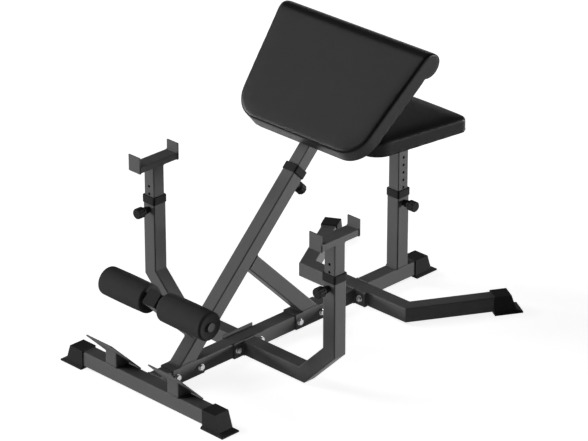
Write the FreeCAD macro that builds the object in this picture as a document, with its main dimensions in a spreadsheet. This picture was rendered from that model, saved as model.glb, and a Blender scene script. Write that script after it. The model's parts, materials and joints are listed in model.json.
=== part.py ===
"""Preacher curl bench with back-extension rollers: welded square-tube frame, sliding arm pad and seat.

Frame of the part: millimetres, +Z up, +Y towards the seat, X across the bench.
The origin is on the floor under the middle of the bench.
"""
import FreeCAD, Part
import math
import os

import Sketcher
from FreeCAD import Placement, Rotation, Vector

doc = FreeCAD.newDocument("PreacherCurlBench")
sheet = doc.addObject("Spreadsheet::Sheet", "dims")

# Driving dimensions, in millimetres and degrees
SIZES = {
    "tube": (50, "outer side of the frame's square tube"),
    "wall": (2, "wall of the frame's tube"),
    "corner": (4, "outer corner radius of the frame's tube"),
    "slide_tube": (44, "outer side of the sliding tubes"),
    "slide_wall": (2, "wall of the sliding tubes"),
    "slide_corner": (3, "outer corner radius of the sliding tubes"),
    "sole": (10, "height of the base tubes' underside above the floor"),
    "front_bar_y": (-592, "middle of the front bar"),
    "front_bar_length": (630, "front bar, end to end"),
    "rail_length": (848, "main rail, from the front bar to its flange"),
    "flange_plate": (6, "thickness of each flange plate"),
    "flange_width": (140, "flange plates, across the bench"),
    "flange_bolt_x": (48, "flange bolts, from the middle"),
    "saddle_plate": (3, "thickness of the saddle plates"),
    "saddle_length": (130, "saddles, along the rail"),
    "saddle_bolt_gap": (98, "distance between a saddle's two bolts"),
    "bolt_diameter": (10, "shank of the frame bolts"),
    "bolt_play": (0.25, "radial room round a bolt"),
    "head_across": (17, "frame bolt heads, across flats"),
    "head_height": (6.5, "height of the frame bolt heads"),
    "nut_height": (8, "height of the frame nuts"),
    "bolt_end": (3, "thread that stands out of a nut"),
    "washer_diameter": (21, "frame washers"),
    "washer_plate": (2, "thickness of the frame washers"),
    "column_at": (145, "column's foot, from the front bar's middle"),
    "column_angle": (45, "lean of the column from the floor"),
    "column_length": (693, "column tube, along its axis"),
    "brace_at": (202, "brace's foot, from the rail's rear end"),
    "arm_at": (96, "roller arm, from the column's foot along the column"),
    "arm_length": (266, "end of the roller arm, from the column's axis"),
    "roller_offset": (230, "roller axle, from the column's axis"),
    "roller_length": (190, "each foam roller"),
    "roller_diameter": (93, "foam rollers"),
    "roller_gap": (9, "gap between the arm and a roller"),
    "roller_round": (7, "rounding of the foam rollers' ends"),
    "axle_diameter": (25, "roller axle tube"),
    "axle_play": (0.4, "radial room between foam and axle"),
    "axle_cap_diameter": (28, "flanges that keep the rollers on the axle"),
    "axle_cap_plate": (4, "thickness of those flanges"),
    "rack_lip": (9.5, "left wall of the rack's saddle, above the rail"),
    "rack_ahead": (6, "bar rack, ahead of the midpoint between column and brace"),
    "rack_half": (393, "rack uprights, from the middle of the bench"),
    "rack_bend": (115, "run of the rack's slanted part, across and up"),
    "rack_top": (408, "top of the rack's outer tubes"),
    "rear_half": (222, "rear bar's corners, from the middle"),
    "leg_splay": (30, "angle of the rear legs from the bench's length"),
    "leg_length": (329, "splayed rear legs, from the corner"),
    "middle_leg_length": (270, "middle rear leg"),
    "post_at": (186, "seat post, from the rear bar's middle"),
    "post_top": (332, "top of the seat post"),
    "cap_wall": (3, "wall of the foot caps"),
    "cap_grip": (50, "length of tube inside a foot cap"),
    "cap_end": (6, "thickness of a foot cap's end"),
    "cap_slope": (21, "how far a foot cap's end slopes out"),
    "cap_toe": (38, "how far a foot cap's sole stands out past its top"),
    "cap_brim": (7, "how far the sole stands out sideways"),
    "cap_sole": (5, "thickness of the sole's edge"),
    "foot_x": (137, "foot plates, from the middle"),
    "foot_width": (118, "foot plates, across"),
    "foot_up": (140, "foot plate, from the bar's rear edge up the slope"),
    "foot_down": (30, "foot plate, from the bar's rear edge down the slope"),
    "foot_plate": (4, "thickness of the foot plates"),
    "foot_corner": (8, "corner radius of the foot plates"),
    "foot_angle": (45, "slope of the foot plates"),
    "stub_low": (1.5, "height of a foot stub at its rear edge"),
    "collar_wall": (3, "wall of the plastic collars"),
    "collar_height": (26, "height of the plastic collars"),
    "collar_lip": (3, "collar above the tube's end"),
    "collar_edge": (1.5, "chamfer of the collars"),
    "slide_play": (0.4, "room between a collar and its sliding tube"),
    "pin_drop": (42, "lock pins, from the top of the outer tube"),
    "hole_pitch": (26, "distance between adjusting holes"),
    "hole_diameter": (9.5, "adjusting holes"),
    "pin_diameter": (8, "lock pins"),
    "pin_play": (0.2, "radial room round a lock pin"),
    "pin_clear": (0.8, "gap between the drawn pin and the sliding tube"),
    "pin_travel": (8, "travel of a lock pin into its hole"),
    "boss_diameter": (20, "moulded guides of the lock pins"),
    "boss_height": (12, "height of those guides"),
    "knob_diameter": (35, "pull knobs"),
    "knob_length": (32, "grip of the pull knobs"),
    "knob_neck": (24, "neck of the pull knobs, next to the boss"),
    "knob_flute": (3.2, "radius of the knobs' flutes"),
    "knob_edge": (2, "chamfer of the knobs' ends"),
    "pad_tube_start": (393, "lower end of the pad's tube, from the column's foot"),
    "pad_tube_length": (682, "pad's sliding tube"),
    "pad_tube_gap": (7, "pad tube's upper end, short of the pad's roll"),
    "pad_rise": (36, "back of the arm pad, from the column's axis"),
    "pad_thick": (66, "arm pad, from its back to the front of its roll"),
    "pad_length": (413, "arm pad, along its slope"),
    "pad_roll": (44, "radius of the roll along the pad's top"),
    "pad_crown": (8, "swell of the pad's face"),
    "pad_top_width": (642, "arm pad at the top of its face"),
    "pad_low_width": (530, "arm pad at the foot of its face, without its round corners"),
    "pad_draw": (7, "how far each side of the pad is drawn in at its back"),
    "pad_lean": (8, "how far the pad's lower edge leans back from its face"),
    "pad_corner": (96, "radius of the pad's lower corners"),
    "pad_edge": (9, "rounding of the pad's front edge"),
    "board": (12, "plywood boards under the cushions"),
    "board_inset": (10, "boards inside their cushions' edges"),
    "bar_width": (40, "pad carriers, along the slope"),
    "bar_length": (320, "pad carriers, across"),
    "bar_low": (120, "lower pad carrier, from the pad's lower edge"),
    "bar_high": (262, "upper pad carrier, from the pad's lower edge"),
    "pad_bolt_x": (125, "pad bolts, from the middle"),
    "screw_diameter": (8, "bolts of the pad and the seat"),
    "screw_bite": (9, "thread in the boards"),
    "screw_across": (13, "their heads, across flats"),
    "screw_head": (5.5, "height of their heads"),
    "seat_tube_low": (222, "lower end of the seat's tube"),
    "seat_height": (528, "underside of the seat"),
    "seat_plate": (4, "plate under the seat"),
    "seat_plate_side": (170, "side of that plate"),
    "seat_bolt_half": (62, "seat bolts, from the post"),
    "seat_thick": (53, "seat cushion"),
    "seat_back_width": (309, "seat at its rear edge"),
    "seat_front_width": (204, "seat at its front edge"),
    "seat_front": (213, "seat in front of its post"),
    "seat_back": (164, "seat behind its post"),
    "seat_front_corner": (64, "radius of the seat's front corners"),
    "seat_back_corner": (24, "radius of the seat's rear corners"),
    "seat_crown": (3, "swell of the seat's top"),
    "seat_edge": (13, "rounding of the seat's top edge"),
    "rest_low": (250, "lower end of the bar rests' tubes"),
    "rest_height": (512, "underside of the bar rests"),
    "tray_height": (22, "bar rest trays"),
    "tray_length": (158, "bar rest trays, between their lips"),
    "lip_height": (54, "lips of the bar rests"),
    "lip_plate": (4, "thickness of the lips"),
}

for row, (alias, (value, note)) in enumerate(SIZES.items(), 1):
    sheet.set(f"A{row}", note)
    sheet.set(f"B{row}", str(value))
    sheet.setAlias(f"B{row}", alias)
doc.recompute()


class Size:
    """A measure: its formula in the sheet's cells, and its present value."""

    def __init__(self, formula, value):
        self.formula = formula
        self.value = value

    def __add__(self, other):
        other = size_of(other)
        return Size(f"({self.formula} + {other.formula})", self.value + other.value)

    def __sub__(self, other):
        other = size_of(other)
        return Size(f"({self.formula} - {other.formula})", self.value - other.value)

    def __mul__(self, other):
        other = size_of(other)
        return Size(f"({self.formula} * {other.formula})", self.value * other.value)

    def __truediv__(self, other):
        other = size_of(other)
        return Size(f"({self.formula} / {other.formula})", self.value / other.value)

    def __neg__(self):
        return Size(f"(0 - {self.formula})", -self.value)

    __radd__ = __add__
    __rmul__ = __mul__


def size_of(item):
    return item if isinstance(item, Size) else Size(f"({item})", float(item))


def sine(angle):
    return Size(f"sin({angle.formula} * 1 deg)", math.sin(math.radians(angle.value)))


def cosine(angle):
    return Size(f"cos({angle.formula} * 1 deg)", math.cos(math.radians(angle.value)))


def tangent(angle):
    return Size(f"tan({angle.formula} * 1 deg)", math.tan(math.radians(angle.value)))


class Sheet:
    """The sheet's cells by name."""

    def __getattr__(self, alias):
        return Size(f"dims.{alias}", float(getattr(sheet, alias)))


S = Sheet()
REACH = Size("3000", 3000.0)    # longer than the bench: the side of a block that only cuts
ZERO = size_of(0)
RIGHT = size_of(90)

# Counts: flutes of a knob, and adjusting holes below and above the one at the pin
KNOB_FLUTES = 10
PAD_STEPS = (-3, 4)
SEAT_STEPS = (-1, 6)
REST_STEPS = (-3, 3)

# Places that several pieces share
TUBE_TOP = S.sole + S.tube
TUBE_MID = S.sole + S.tube / 2
BAR_REAR = S.front_bar_y + S.tube / 2
RAIL_END = BAR_REAR + S.rail_length
REAR_BAR_Y = RAIL_END + S.flange_plate * 2 + S.tube / 2
SADDLE_TOP = TUBE_TOP + S.saddle_plate
SADDLE_HALF = S.tube / 2 + S.saddle_plate
COLUMN_Y = S.front_bar_y + S.column_at
BRACE_Y = RAIL_END - S.brace_at
RACK_Y = (COLUMN_Y + BRACE_Y) / 2 - S.rack_ahead
POST_Y = REAR_BAR_Y + S.post_at
PAD_TUBE_END = S.pad_tube_start + S.pad_tube_length
PAD_AT = PAD_TUBE_END + S.pad_tube_gap + S.pad_roll * 2 - S.pad_length
LEAN = S.column_angle - 90
SIN = sine(S.column_angle)
COS = cosine(S.column_angle)

nodes = {}


def bind(item, name, size):
    item.setExpression(name, size_of(size).formula)


def place(item, base, axis=(0, 0, 1), turn=ZERO):
    """Put an object's origin at base, turned about axis."""
    item.Placement = Placement(Vector(), Rotation(Vector(*axis), turn.value))
    bind(item, "Placement.Rotation.Angle", turn)
    for letter, size in zip("xyz", base):
        bind(item, f"Placement.Base.{letter}", size)
    return item


def node(label, item):
    item.Label = label
    nodes[label] = item
    return item


def on_column(down, along):
    """Place at a distance below the column's axis and along it from its foot."""
    return ZERO, COLUMN_Y + down * SIN + along * COS, SADDLE_TOP - down * COS + along * SIN


def box(name, extent, base, axis=(0, 0, 1), turn=ZERO):
    item = doc.addObject("Part::Box", name)
    for letter, size in zip(("Length", "Width", "Height"), extent):
        bind(item, letter, size)
    return place(item, base, axis, turn)


def cylinder(name, radius, height, base, axis=(0, 0, 1), turn=ZERO):
    item = doc.addObject("Part::Cylinder", name)
    bind(item, "Radius", radius)
    bind(item, "Height", height)
    return place(item, base, axis, turn)


def cut(name, base, *tools):
    """Base without the tools."""
    tool = tools[0] if len(tools) == 1 else fuse(name + "_tools", *tools)
    item = doc.addObject("Part::Cut", name)
    item.Base = base
    item.Tool = tool
    return item


def fuse(name, *parts):
    item = doc.addObject("Part::MultiFuse", name)
    item.Shapes = list(parts)
    return item


def group(name, *parts):
    item = doc.addObject("Part::Compound", name)
    item.Links = list(parts)
    return item


def body_sketch(body, name, role):
    """Sketch on one of its body's own planes."""
    sketch = body.newObject("Sketcher::SketchObject", name)
    plane = next(f for f in body.Origin.OriginFeatures if f.Role == role)
    sketch.AttachmentSupport = [(plane, "")]
    sketch.MapMode = "FlatFace"
    return sketch


def fix(sketch, kind, *where, size):
    """Constraint whose value follows a size."""
    size = size_of(size)
    index = sketch.addConstraint(Sketcher.Constraint(kind, *where, size.value))
    sketch.setExpression(f"Constraints[{index}]", size.formula)


def rounded_rectangle(sketch, wide, high, radius):
    """Rectangle with round corners about the sketch's origin: four lines and four arcs."""
    wide = size_of(wide)
    high = size_of(high)
    radius = size_of(radius)
    w = wide.value / 2
    h = high.value / 2
    r = radius.value
    first = sketch.GeometryCount
    ends = [((r - w, -h), (w - r, -h)), ((w, r - h), (w, h - r)),
            ((w - r, h), (r - w, h)), ((-w, h - r), (-w, r - h))]
    centers = [(w - r, r - h), (w - r, h - r), (r - w, h - r), (r - w, r - h)]
    for start, end in ends:
        sketch.addGeometry(Part.LineSegment(Vector(*start, 0), Vector(*end, 0)))
    for quarter, center in enumerate(centers):
        circle = Part.Circle(Vector(*center, 0), Vector(0, 0, 1), r)
        begin = (quarter - 1) * math.pi / 2
        sketch.addGeometry(Part.ArcOfCircle(circle, begin, begin + math.pi / 2))
    line = [first + i for i in range(4)]
    arc = [first + 4 + i for i in range(4)]
    for i in range(4):
        sketch.addConstraint(Sketcher.Constraint("Tangent", line[i], 2, arc[i], 1))
        sketch.addConstraint(Sketcher.Constraint("Tangent", arc[i], 2, line[(i + 1) % 4], 1))
    for i in range(1, 4):
        sketch.addConstraint(Sketcher.Constraint("Equal", arc[0], arc[i]))
    for i in (0, 2):
        sketch.addConstraint(Sketcher.Constraint("Horizontal", line[i]))
    for i in (1, 3):
        sketch.addConstraint(Sketcher.Constraint("Vertical", line[i]))
    sketch.addConstraint(Sketcher.Constraint("Symmetric", arc[0], 3, arc[2], 3, -1, 1))
    fix(sketch, "Radius", arc[0], size=radius)
    fix(sketch, "DistanceX", line[3], 1, line[1], 1, size=wide)
    fix(sketch, "DistanceY", line[0], 1, line[2], 1, size=high)


def pad(body, name, sketch, length, both_ways=False):
    item = body.newObject("PartDesign::Pad", name)
    item.Profile = sketch
    item.Midplane = both_ways
    bind(item, "Length", length)
    return item


def square_tube(name, side, wall, corner, length):
    """Hollow square tube with round corners, from its origin along its own Z."""
    body = doc.addObject("PartDesign::Body", name)
    sketch = body_sketch(body, name + "_section", "XY_Plane")
    rounded_rectangle(sketch, side, side, corner)
    rounded_rectangle(sketch, side - wall * 2, side - wall * 2, corner - wall)
    pad(body, name + "_run", sketch, length)
    return body


def frame_tube(name, length):
    return square_tube(name, S.tube, S.wall, S.corner, length)


def slide_tube(name, length):
    return square_tube(name, S.slide_tube, S.slide_wall, S.slide_corner, length)


def furthest_face(shape, direction):
    """Name of the face whose centre lies furthest along a direction."""
    reach = [face.CenterOfMass.dot(direction) for face in shape.Faces]
    return f"Face{reach.index(max(reach)) + 1}"


def hexagon(name, across, height, base, axis=(0, 0, 1), turn=ZERO):
    item = doc.addObject("Part::Prism", name)
    item.Polygon = 6
    bind(item, "Circumradius", size_of(across) / math.sqrt(3))
    bind(item, "Height", height)
    return place(item, base, axis, turn)


def along_x(start, y, z):
    return {"base": (start, y, z), "axis": (0, 1, 0), "turn": RIGHT}


def along_y(x, start, z):
    return {"base": (x, start, z), "axis": (1, 0, 0), "turn": -RIGHT}


def ring(name, outer, inner, height, where):
    """Flat ring or bush: a cylinder with a bore."""
    solid = cylinder(name + "_disc", outer, height, **where)
    return cut(name, solid, cylinder(name + "_bore", inner, height, **where))


def through_bolt(name, grip, where):
    """Hex bolt, two washers and a nut. where(distance) is a place on its axis, counted from its head."""
    shank = S.bolt_diameter / 2
    length = grip + S.washer_plate * 2 + S.nut_height + S.bolt_end
    head = hexagon(name + "_head", S.head_across, S.head_height, **where(-S.head_height))
    bolt = fuse(name + "_bolt", head, cylinder(name + "_shank", shank, length, **where(ZERO)))
    clear = shank + S.bolt_play
    washers = []
    for side, start in (("head", ZERO), ("nut", S.washer_plate + grip)):
        label = f"{name}_{side}_washer"
        washers.append(ring(label, S.washer_diameter / 2, clear, S.washer_plate, where(start)))
    nut_start = where(S.washer_plate * 2 + grip)
    nut = hexagon(name + "_nut_block", S.head_across, S.nut_height, **nut_start)
    nut = cut(name + "_nut", nut, cylinder(name + "_nut_bore", clear, S.nut_height, **nut_start))
    return [bolt, nut, *washers]


def saddle_drills(name, y):
    """Two bolt holes across the rail."""
    drills = []
    for side in (-1, 1):
        where = along_x(-REACH / 2, y + S.saddle_bolt_gap / 2 * side, TUBE_MID)
        drills.append(cylinder(f"{name}_drill_{side + 1}", S.bolt_diameter / 2 + S.bolt_play, REACH, **where))
    return drills


def saddle_bolts(name, y):
    """Two bolts across the rail and its saddle, heads on the right."""
    parts = []
    grip = SADDLE_HALF * 2
    for side in (-1, 1):
        def where(distance, side=side):
            start = SADDLE_HALF + S.washer_plate - distance
            base = (start, y + S.saddle_bolt_gap / 2 * side, TUBE_MID)
            return {"base": base, "axis": (0, 1, 0), "turn": -RIGHT}
        parts += through_bolt(f"{name}_{side + 1}", grip, where)
    return parts


def saddle(name, y, low):
    """Folded channel round the rail, open below or above."""
    outer = (SADDLE_HALF * 2, S.saddle_length, S.tube + S.saddle_plate)
    base_z = S.sole if low == "open" else S.sole - S.saddle_plate
    front = y - S.saddle_length / 2
    block = box(name + "_block", outer, (-SADDLE_HALF, front, base_z))
    room = box(name + "_room", (S.tube, S.saddle_length, S.tube), (-S.tube / 2, front, S.sole))
    return cut(name, block, room, *saddle_drills(name, y))


def end_plug(name, side, wall, corner):
    """Plastic plug for a square tube's end: a plate over the end and a spigot inside it."""
    plug = doc.addObject("PartDesign::Body", name)
    face = body_sketch(plug, name + "_face", "XY_Plane")
    rounded_rectangle(face, side, side, corner)
    pad(plug, name + "_plate", face, S.collar_lip)
    spigot = body_sketch(plug, name + "_spigot", "XY_Plane")
    rounded_rectangle(spigot, side - wall * 2, side - wall * 2, corner - wall)
    pad(plug, name + "_depth", spigot, S.cap_end).Reversed = True
    return plug


def front_foot():
    """Front bar with its two sloping foot plates on wedge-cut stubs."""
    where = along_x(-S.front_bar_length / 2, S.front_bar_y, TUBE_MID)
    node("front_bar", place(frame_tube("front_bar", S.front_bar_length), **where))
    stubs = []
    tall = S.tube * tangent(S.foot_angle) + S.stub_low
    edge = (-REACH / 2, BAR_REAR, TUBE_TOP + S.stub_low)
    above = box("foot_plane", (REACH, REACH, REACH), edge, (1, 0, 0), -S.foot_angle)
    shift = REACH / 2
    above.setExpression("Placement.Base.y", (BAR_REAR - shift * cosine(S.foot_angle)).formula)
    above.setExpression("Placement.Base.z", (edge[2] + shift * sine(S.foot_angle)).formula)
    for side, sign in (("left", -1), ("right", 1)):
        x = S.foot_x * sign
        stub = place(frame_tube(f"foot_stub_{side}", tall), (x, S.front_bar_y, TUBE_TOP))
        stubs.append(cut(f"foot_stub_{side}_cut", stub, above))
        plate = doc.addObject("PartDesign::Body", f"foot_plate_{side}")
        sketch = body_sketch(plate, f"foot_outline_{side}", "XY_Plane")
        rounded_rectangle(sketch, S.foot_width, S.foot_up + S.foot_down, S.foot_corner)
        pad(plate, f"foot_thickness_{side}", sketch, S.foot_plate)
        middle = (S.foot_down - S.foot_up) / 2
        base = (x, BAR_REAR + middle * cosine(S.foot_angle), edge[2] - middle * sine(S.foot_angle))
        node(f"foot_plate_{side}", place(plate, base, (1, 0, 0), -S.foot_angle))
    node("foot_stubs", group("foot_stubs", *stubs))


def rail():
    """Main rail, its bolt holes, and the bolted flange to the rear base."""
    bare = place(frame_tube("rail_tube", S.rail_length), **along_y(ZERO, BAR_REAR, TUBE_MID))
    drills = []
    for name, y in (("column_hole", COLUMN_Y), ("brace_hole", BRACE_Y), ("rack_hole", RACK_Y)):
        drills += saddle_drills(name, y)
    node("main_rail", cut("main_rail", bare, *drills))
    plates = []
    for name, y in (("rail_flange", RAIL_END), ("rear_flange", RAIL_END + S.flange_plate)):
        extent = (S.flange_width, S.flange_plate, S.tube)
        plate = box(name + "_plate", extent, (-S.flange_width / 2, y, S.sole))
        drill = [cylinder(f"{name}_drill_{side + 1}", S.bolt_diameter / 2 + S.bolt_play, REACH,
                          **along_y(S.flange_bolt_x * side, -REACH / 2, TUBE_MID)) for side in (-1, 1)]
        plates.append(cut(name, plate, *drill))
    node("flange_plates", group("flange_plates", *plates))
    bolts = []
    grip = S.flange_plate * 2 + S.tube
    for side in (-1, 1):
        def where(distance, side=side):
            return along_y(S.flange_bolt_x * side, RAIL_END - S.washer_plate + distance, TUBE_MID)
        bolts += through_bolt(f"flange_bolt_{side + 1}", grip, where)
    node("flange_bolts", group("flange_bolts", *bolts))


def saddles():
    """The three saddles and the six bolts that hold them to the rail."""
    node("column_saddle", saddle("column_saddle", COLUMN_Y, "open"))
    node("brace_saddle", saddle("brace_saddle", BRACE_Y, "open"))
    plate = (S.saddle_plate, S.saddle_length, S.rack_lip)
    lip = box("rack_lip_plate", plate, (-SADDLE_HALF, RACK_Y - S.saddle_length / 2, TUBE_TOP))
    node("rack_saddle", fuse("rack_saddle", saddle("rack_channel", RACK_Y, "closed"), lip))
    bolts = []
    for name, y in (("column_bolt", COLUMN_Y), ("brace_bolt", BRACE_Y), ("rack_bolt", RACK_Y)):
        bolts += saddle_bolts(name, y)
    node("saddle_bolts", group("saddle_bolts", *bolts))


def column():
    """Leaning column, its square brace and the arm that carries the rollers."""
    below = box("saddle_plane", (REACH, REACH, REACH), (-REACH / 2, -REACH / 2, SADDLE_TOP - REACH))
    pin_along = S.column_length - S.pin_drop
    tube = frame_tube("column_run", S.column_length + S.tube)
    place(tube, on_column(ZERO, -S.tube), (1, 0, 0), LEAN)
    hole = cylinder("column_pin_hole", S.pin_diameter / 2 + S.pin_play, S.tube, on_column(ZERO, pin_along),
                    (1, 0, 0), S.column_angle + 180)
    node("column_tube", cut("column_tube", tube, below, hole))
    brace_length = (BRACE_Y - COLUMN_Y) * SIN - S.tube / 2
    base = (ZERO, BRACE_Y + S.tube * SIN, SADDLE_TOP - S.tube * COS)
    tube = place(frame_tube("brace_run", brace_length + S.tube), base, (1, 0, 0), S.column_angle)
    node("brace_tube", cut("brace_tube", tube, below))
    arm = place(frame_tube("arm_run", S.arm_length - S.tube / 2), on_column(-S.tube / 2, S.arm_at),
                (1, 0, 0), S.column_angle)
    axle = on_column(-S.roller_offset, S.arm_at)
    drill = cylinder("arm_drill", S.axle_diameter / 2, REACH, **along_x(-REACH / 2, axle[1], axle[2]))
    node("roller_arm", cut("roller_arm", arm, drill))
    end = on_column(-S.arm_length, S.arm_at)
    plug = end_plug("arm_plug", S.tube, S.wall, S.corner)
    node("arm_plug", place(plug, end, (1, 0, 0), S.column_angle))


def rollers():
    """Axle across the arm, two foam rollers that turn on it, and the caps that keep them on."""
    y, z = on_column(-S.roller_offset, S.arm_at)[1:]
    inner = S.tube / 2 + S.roller_gap
    half = inner + S.roller_length + S.axle_play
    bore = S.axle_diameter / 2 - S.wall
    node("roller_axle", ring("roller_axle", S.axle_diameter / 2, bore, half * 2, along_x(-half, y, z)))
    caps = []
    for side, sign in (("left", -1), ("right", 1)):
        outward = RIGHT * sign
        where = {"base": (half * sign, y, z), "axis": (0, 1, 0), "turn": outward}
        flange = cylinder(f"axle_flange_{side}", S.axle_cap_diameter / 2, S.axle_cap_plate, **where)
        inside = dict(where, base=((half - S.cap_grip / 2) * sign, y, z))
        spigot = cylinder(f"axle_spigot_{side}", bore, S.cap_grip / 2, **inside)
        caps.append(fuse(f"axle_cap_{side}", flange, spigot))
        foam = doc.addObject("PartDesign::Body", f"roller_{side}")
        sketch = body_sketch(foam, f"roller_section_{side}", "XY_Plane")
        for radius in (S.roller_diameter / 2, S.axle_diameter / 2 + S.axle_play):
            circle = sketch.addGeometry(Part.Circle(Vector(), Vector(0, 0, 1), radius.value))
            sketch.addConstraint(Sketcher.Constraint("Coincident", circle, 3, -1, 1))
            fix(sketch, "Radius", circle, size=radius)
        run = pad(foam, f"roller_run_{side}", sketch, S.roller_length)
        doc.recompute()
        rounding = foam.newObject("PartDesign::Fillet", f"roller_rounding_{side}")
        rims = [f"Edge{i + 1}" for i, edge in enumerate(run.Shape.Edges)
                if edge.Closed and abs(edge.BoundBox.XLength - S.roller_diameter.value) < 1]
        rounding.Base = (run, rims)
        bind(rounding, "Radius", S.roller_round)
        start = {"base": (inner * sign, y, z), "axis": (0, 1, 0), "turn": outward}
        node(f"roller_{side}", place(foam, **start))
    node("axle_caps", group("axle_caps", *caps))


def rack():
    """Two bent arms that carry the bar rests' outer tubes, on either side of the rack saddle."""
    low = S.sole - S.saddle_plate + S.tube / 2
    for side, sign in (("left", -1), ("right", 1)):
        path = doc.addObject("Sketcher::SketchObject", f"rack_path_{side}")
        place(path, (ZERO, RACK_Y, ZERO), (1, 0, 0), RIGHT)
        points = [(SADDLE_HALF * sign, low), ((S.rack_half - S.rack_bend) * sign, low),
                  (S.rack_half * sign, low + S.rack_bend), (S.rack_half * sign, S.rack_top)]
        for start, end in zip(points, points[1:]):
            ends = [Vector(px.value, pz.value, 0) for px, pz in (start, end)]
            path.addGeometry(Part.LineSegment(*ends))
        for i in range(2):
            path.addConstraint(Sketcher.Constraint("Coincident", i, 2, i + 1, 1))
        for i, (start, end) in enumerate(zip(points, points[1:])):
            if i == 0:
                fix(path, "DistanceX", -1, 1, i, 1, size=start[0])
                fix(path, "DistanceY", -1, 1, i, 1, size=start[1])
            fix(path, "DistanceX", -1, 1, i, 2, size=end[0])
            fix(path, "DistanceY", -1, 1, i, 2, size=end[1])
        skins = []
        for layer, inset in (("outer", ZERO), ("inner", S.wall)):
            width = S.tube - inset * 2
            section = doc.addObject("Sketcher::SketchObject", f"rack_{layer}_{side}")
            rounded_rectangle(section, width, width, S.corner - inset)
            place(section, (SADDLE_HALF * sign, RACK_Y, low), (0, 1, 0), RIGHT)
            run = doc.addObject("Part::Sweep", f"rack_{layer}_run_{side}")
            run.Sections = [section]
            run.Spine = (path, ["Edge1", "Edge2", "Edge3"])
            run.Solid = True
            run.Transition = "Right corner"
            skins.append(run)
        hole = cylinder(f"rack_pin_hole_{side}", S.pin_diameter / 2 + S.pin_play, S.tube,
                        (S.rack_half * sign, RACK_Y, S.rack_top - S.pin_drop), (1, 0, 0), RIGHT)
        node(f"rack_arm_{side}", cut(f"rack_arm_{side}", *skins, hole))


def rear_base():
    """Rear bar, two splayed legs mitred to it, and the middle leg with the seat post."""
    half_turn = (RIGHT - S.leg_splay) / 2
    bare = frame_tube("rear_bar_run", (S.rear_half + S.tube) * 2)
    place(bare, **along_x(-(S.rear_half + S.tube), REAR_BAR_Y, TUBE_MID))
    drills = [cylinder(f"rear_bar_drill_{side + 1}", S.bolt_diameter / 2 + S.bolt_play, REACH,
                       **along_y(S.flange_bolt_x * side, -REACH / 2, TUBE_MID)) for side in (-1, 1)]
    beyond = []
    for side, sign in (("left", -1), ("right", 1)):
        corner = (S.rear_half * sign, REAR_BAR_Y)
        turn = half_turn if sign > 0 else half_turn * -1 + 180
        # Blocks on either side of the mitre plane, whose normal halves the turn between bar and leg
        blocks = []
        for end, shift in (("past", ZERO), ("before", -REACH)):
            along = shift
            across = -REACH / 2
            base = (corner[0] + along * cosine(turn) - across * sine(turn),
                    corner[1] + along * sine(turn) + across * cosine(turn), -REACH / 2)
            blocks.append(box(f"mitre_{end}_{side}", (REACH, REACH, REACH), base, (0, 0, 1), turn))
        beyond.append(blocks[0])
        heading = S.leg_splay * sign
        direction = (sine(heading), cosine(heading))
        leg = frame_tube(f"rear_leg_run_{side}", S.leg_length + S.tube)
        back = (corner[0] - S.tube * direction[0], corner[1] - S.tube * direction[1], TUBE_MID)
        level = Rotation(Vector(1, 0, 0), -90)
        leg.Placement = Placement(Vector(), Rotation(Vector(0, 0, 1), -heading.value).multiply(level))
        for letter, size in zip("xyz", back):
            bind(leg, f"Placement.Base.{letter}", size)
        node(f"rear_leg_{side}", cut(f"rear_leg_{side}", leg, blocks[1]))
    node("rear_bar", cut("rear_bar", bare, *beyond, *drills))
    start = REAR_BAR_Y + S.tube / 2
    leg = place(frame_tube("rear_leg_middle", S.middle_leg_length), **along_y(ZERO, start, TUBE_MID))
    node("rear_leg_middle", leg)
    post = place(frame_tube("post_run", S.post_top - TUBE_TOP), (ZERO, POST_Y, TUBE_TOP))
    hole = cylinder("post_pin_hole", S.pin_diameter / 2 + S.pin_play, S.tube,
                    **along_x(ZERO, POST_Y, S.post_top - S.pin_drop))
    node("seat_post", cut("seat_post", post, hole))


def foot_cap(label, tip_x, tip_y, heading):
    """Plastic cap over the end of a tube that points along heading: a sloping skirt on a wide sole."""
    length = S.cap_grip + S.cap_end
    half = S.tube / 2 + S.cap_wall
    tall = TUBE_TOP + S.cap_wall
    back = -S.cap_grip
    turn = size_of(heading)
    base = (tip_x + back * cosine(turn), tip_y + back * sine(turn), ZERO)
    upright = Rotation(Vector(1, 0, 0), 90)

    def wedge(name, low, low_end, low_half, high, high_end, high_half):
        """Block that narrows upwards: its end and sides lean in."""
        item = doc.addObject("Part::Wedge", f"{label}_{name}")
        bind(item, "Ymin", low)
        bind(item, "Ymax", high)
        bind(item, "Xmin", ZERO)
        bind(item, "Xmax", low_end)
        bind(item, "X2min", ZERO)
        bind(item, "X2max", high_end)
        bind(item, "Zmin", -low_half)
        bind(item, "Zmax", low_half)
        bind(item, "Z2min", -high_half)
        bind(item, "Z2max", high_half)
        item.Placement = Placement(Vector(), Rotation(Vector(0, 0, 1), turn.value).multiply(upright))
        for letter, size in zip("xyz", base):
            bind(item, f"Placement.Base.{letter}", size)
        return item

    brim = half + S.cap_brim
    toe = length + S.cap_toe
    upper = wedge("skirt", ZERO, length + S.cap_slope, half, tall, length, half)
    sole = wedge("sole", ZERO, toe, brim, S.cap_sole, toe, brim)
    rim = wedge("rim", S.cap_sole, toe, brim, S.sole, length + S.cap_slope, half)
    room = wedge("room", S.sole, S.cap_grip, S.tube / 2, TUBE_TOP, S.cap_grip, S.tube / 2)
    node(label, cut(label, fuse(label + "_form", upper, sole, rim), room))


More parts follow.
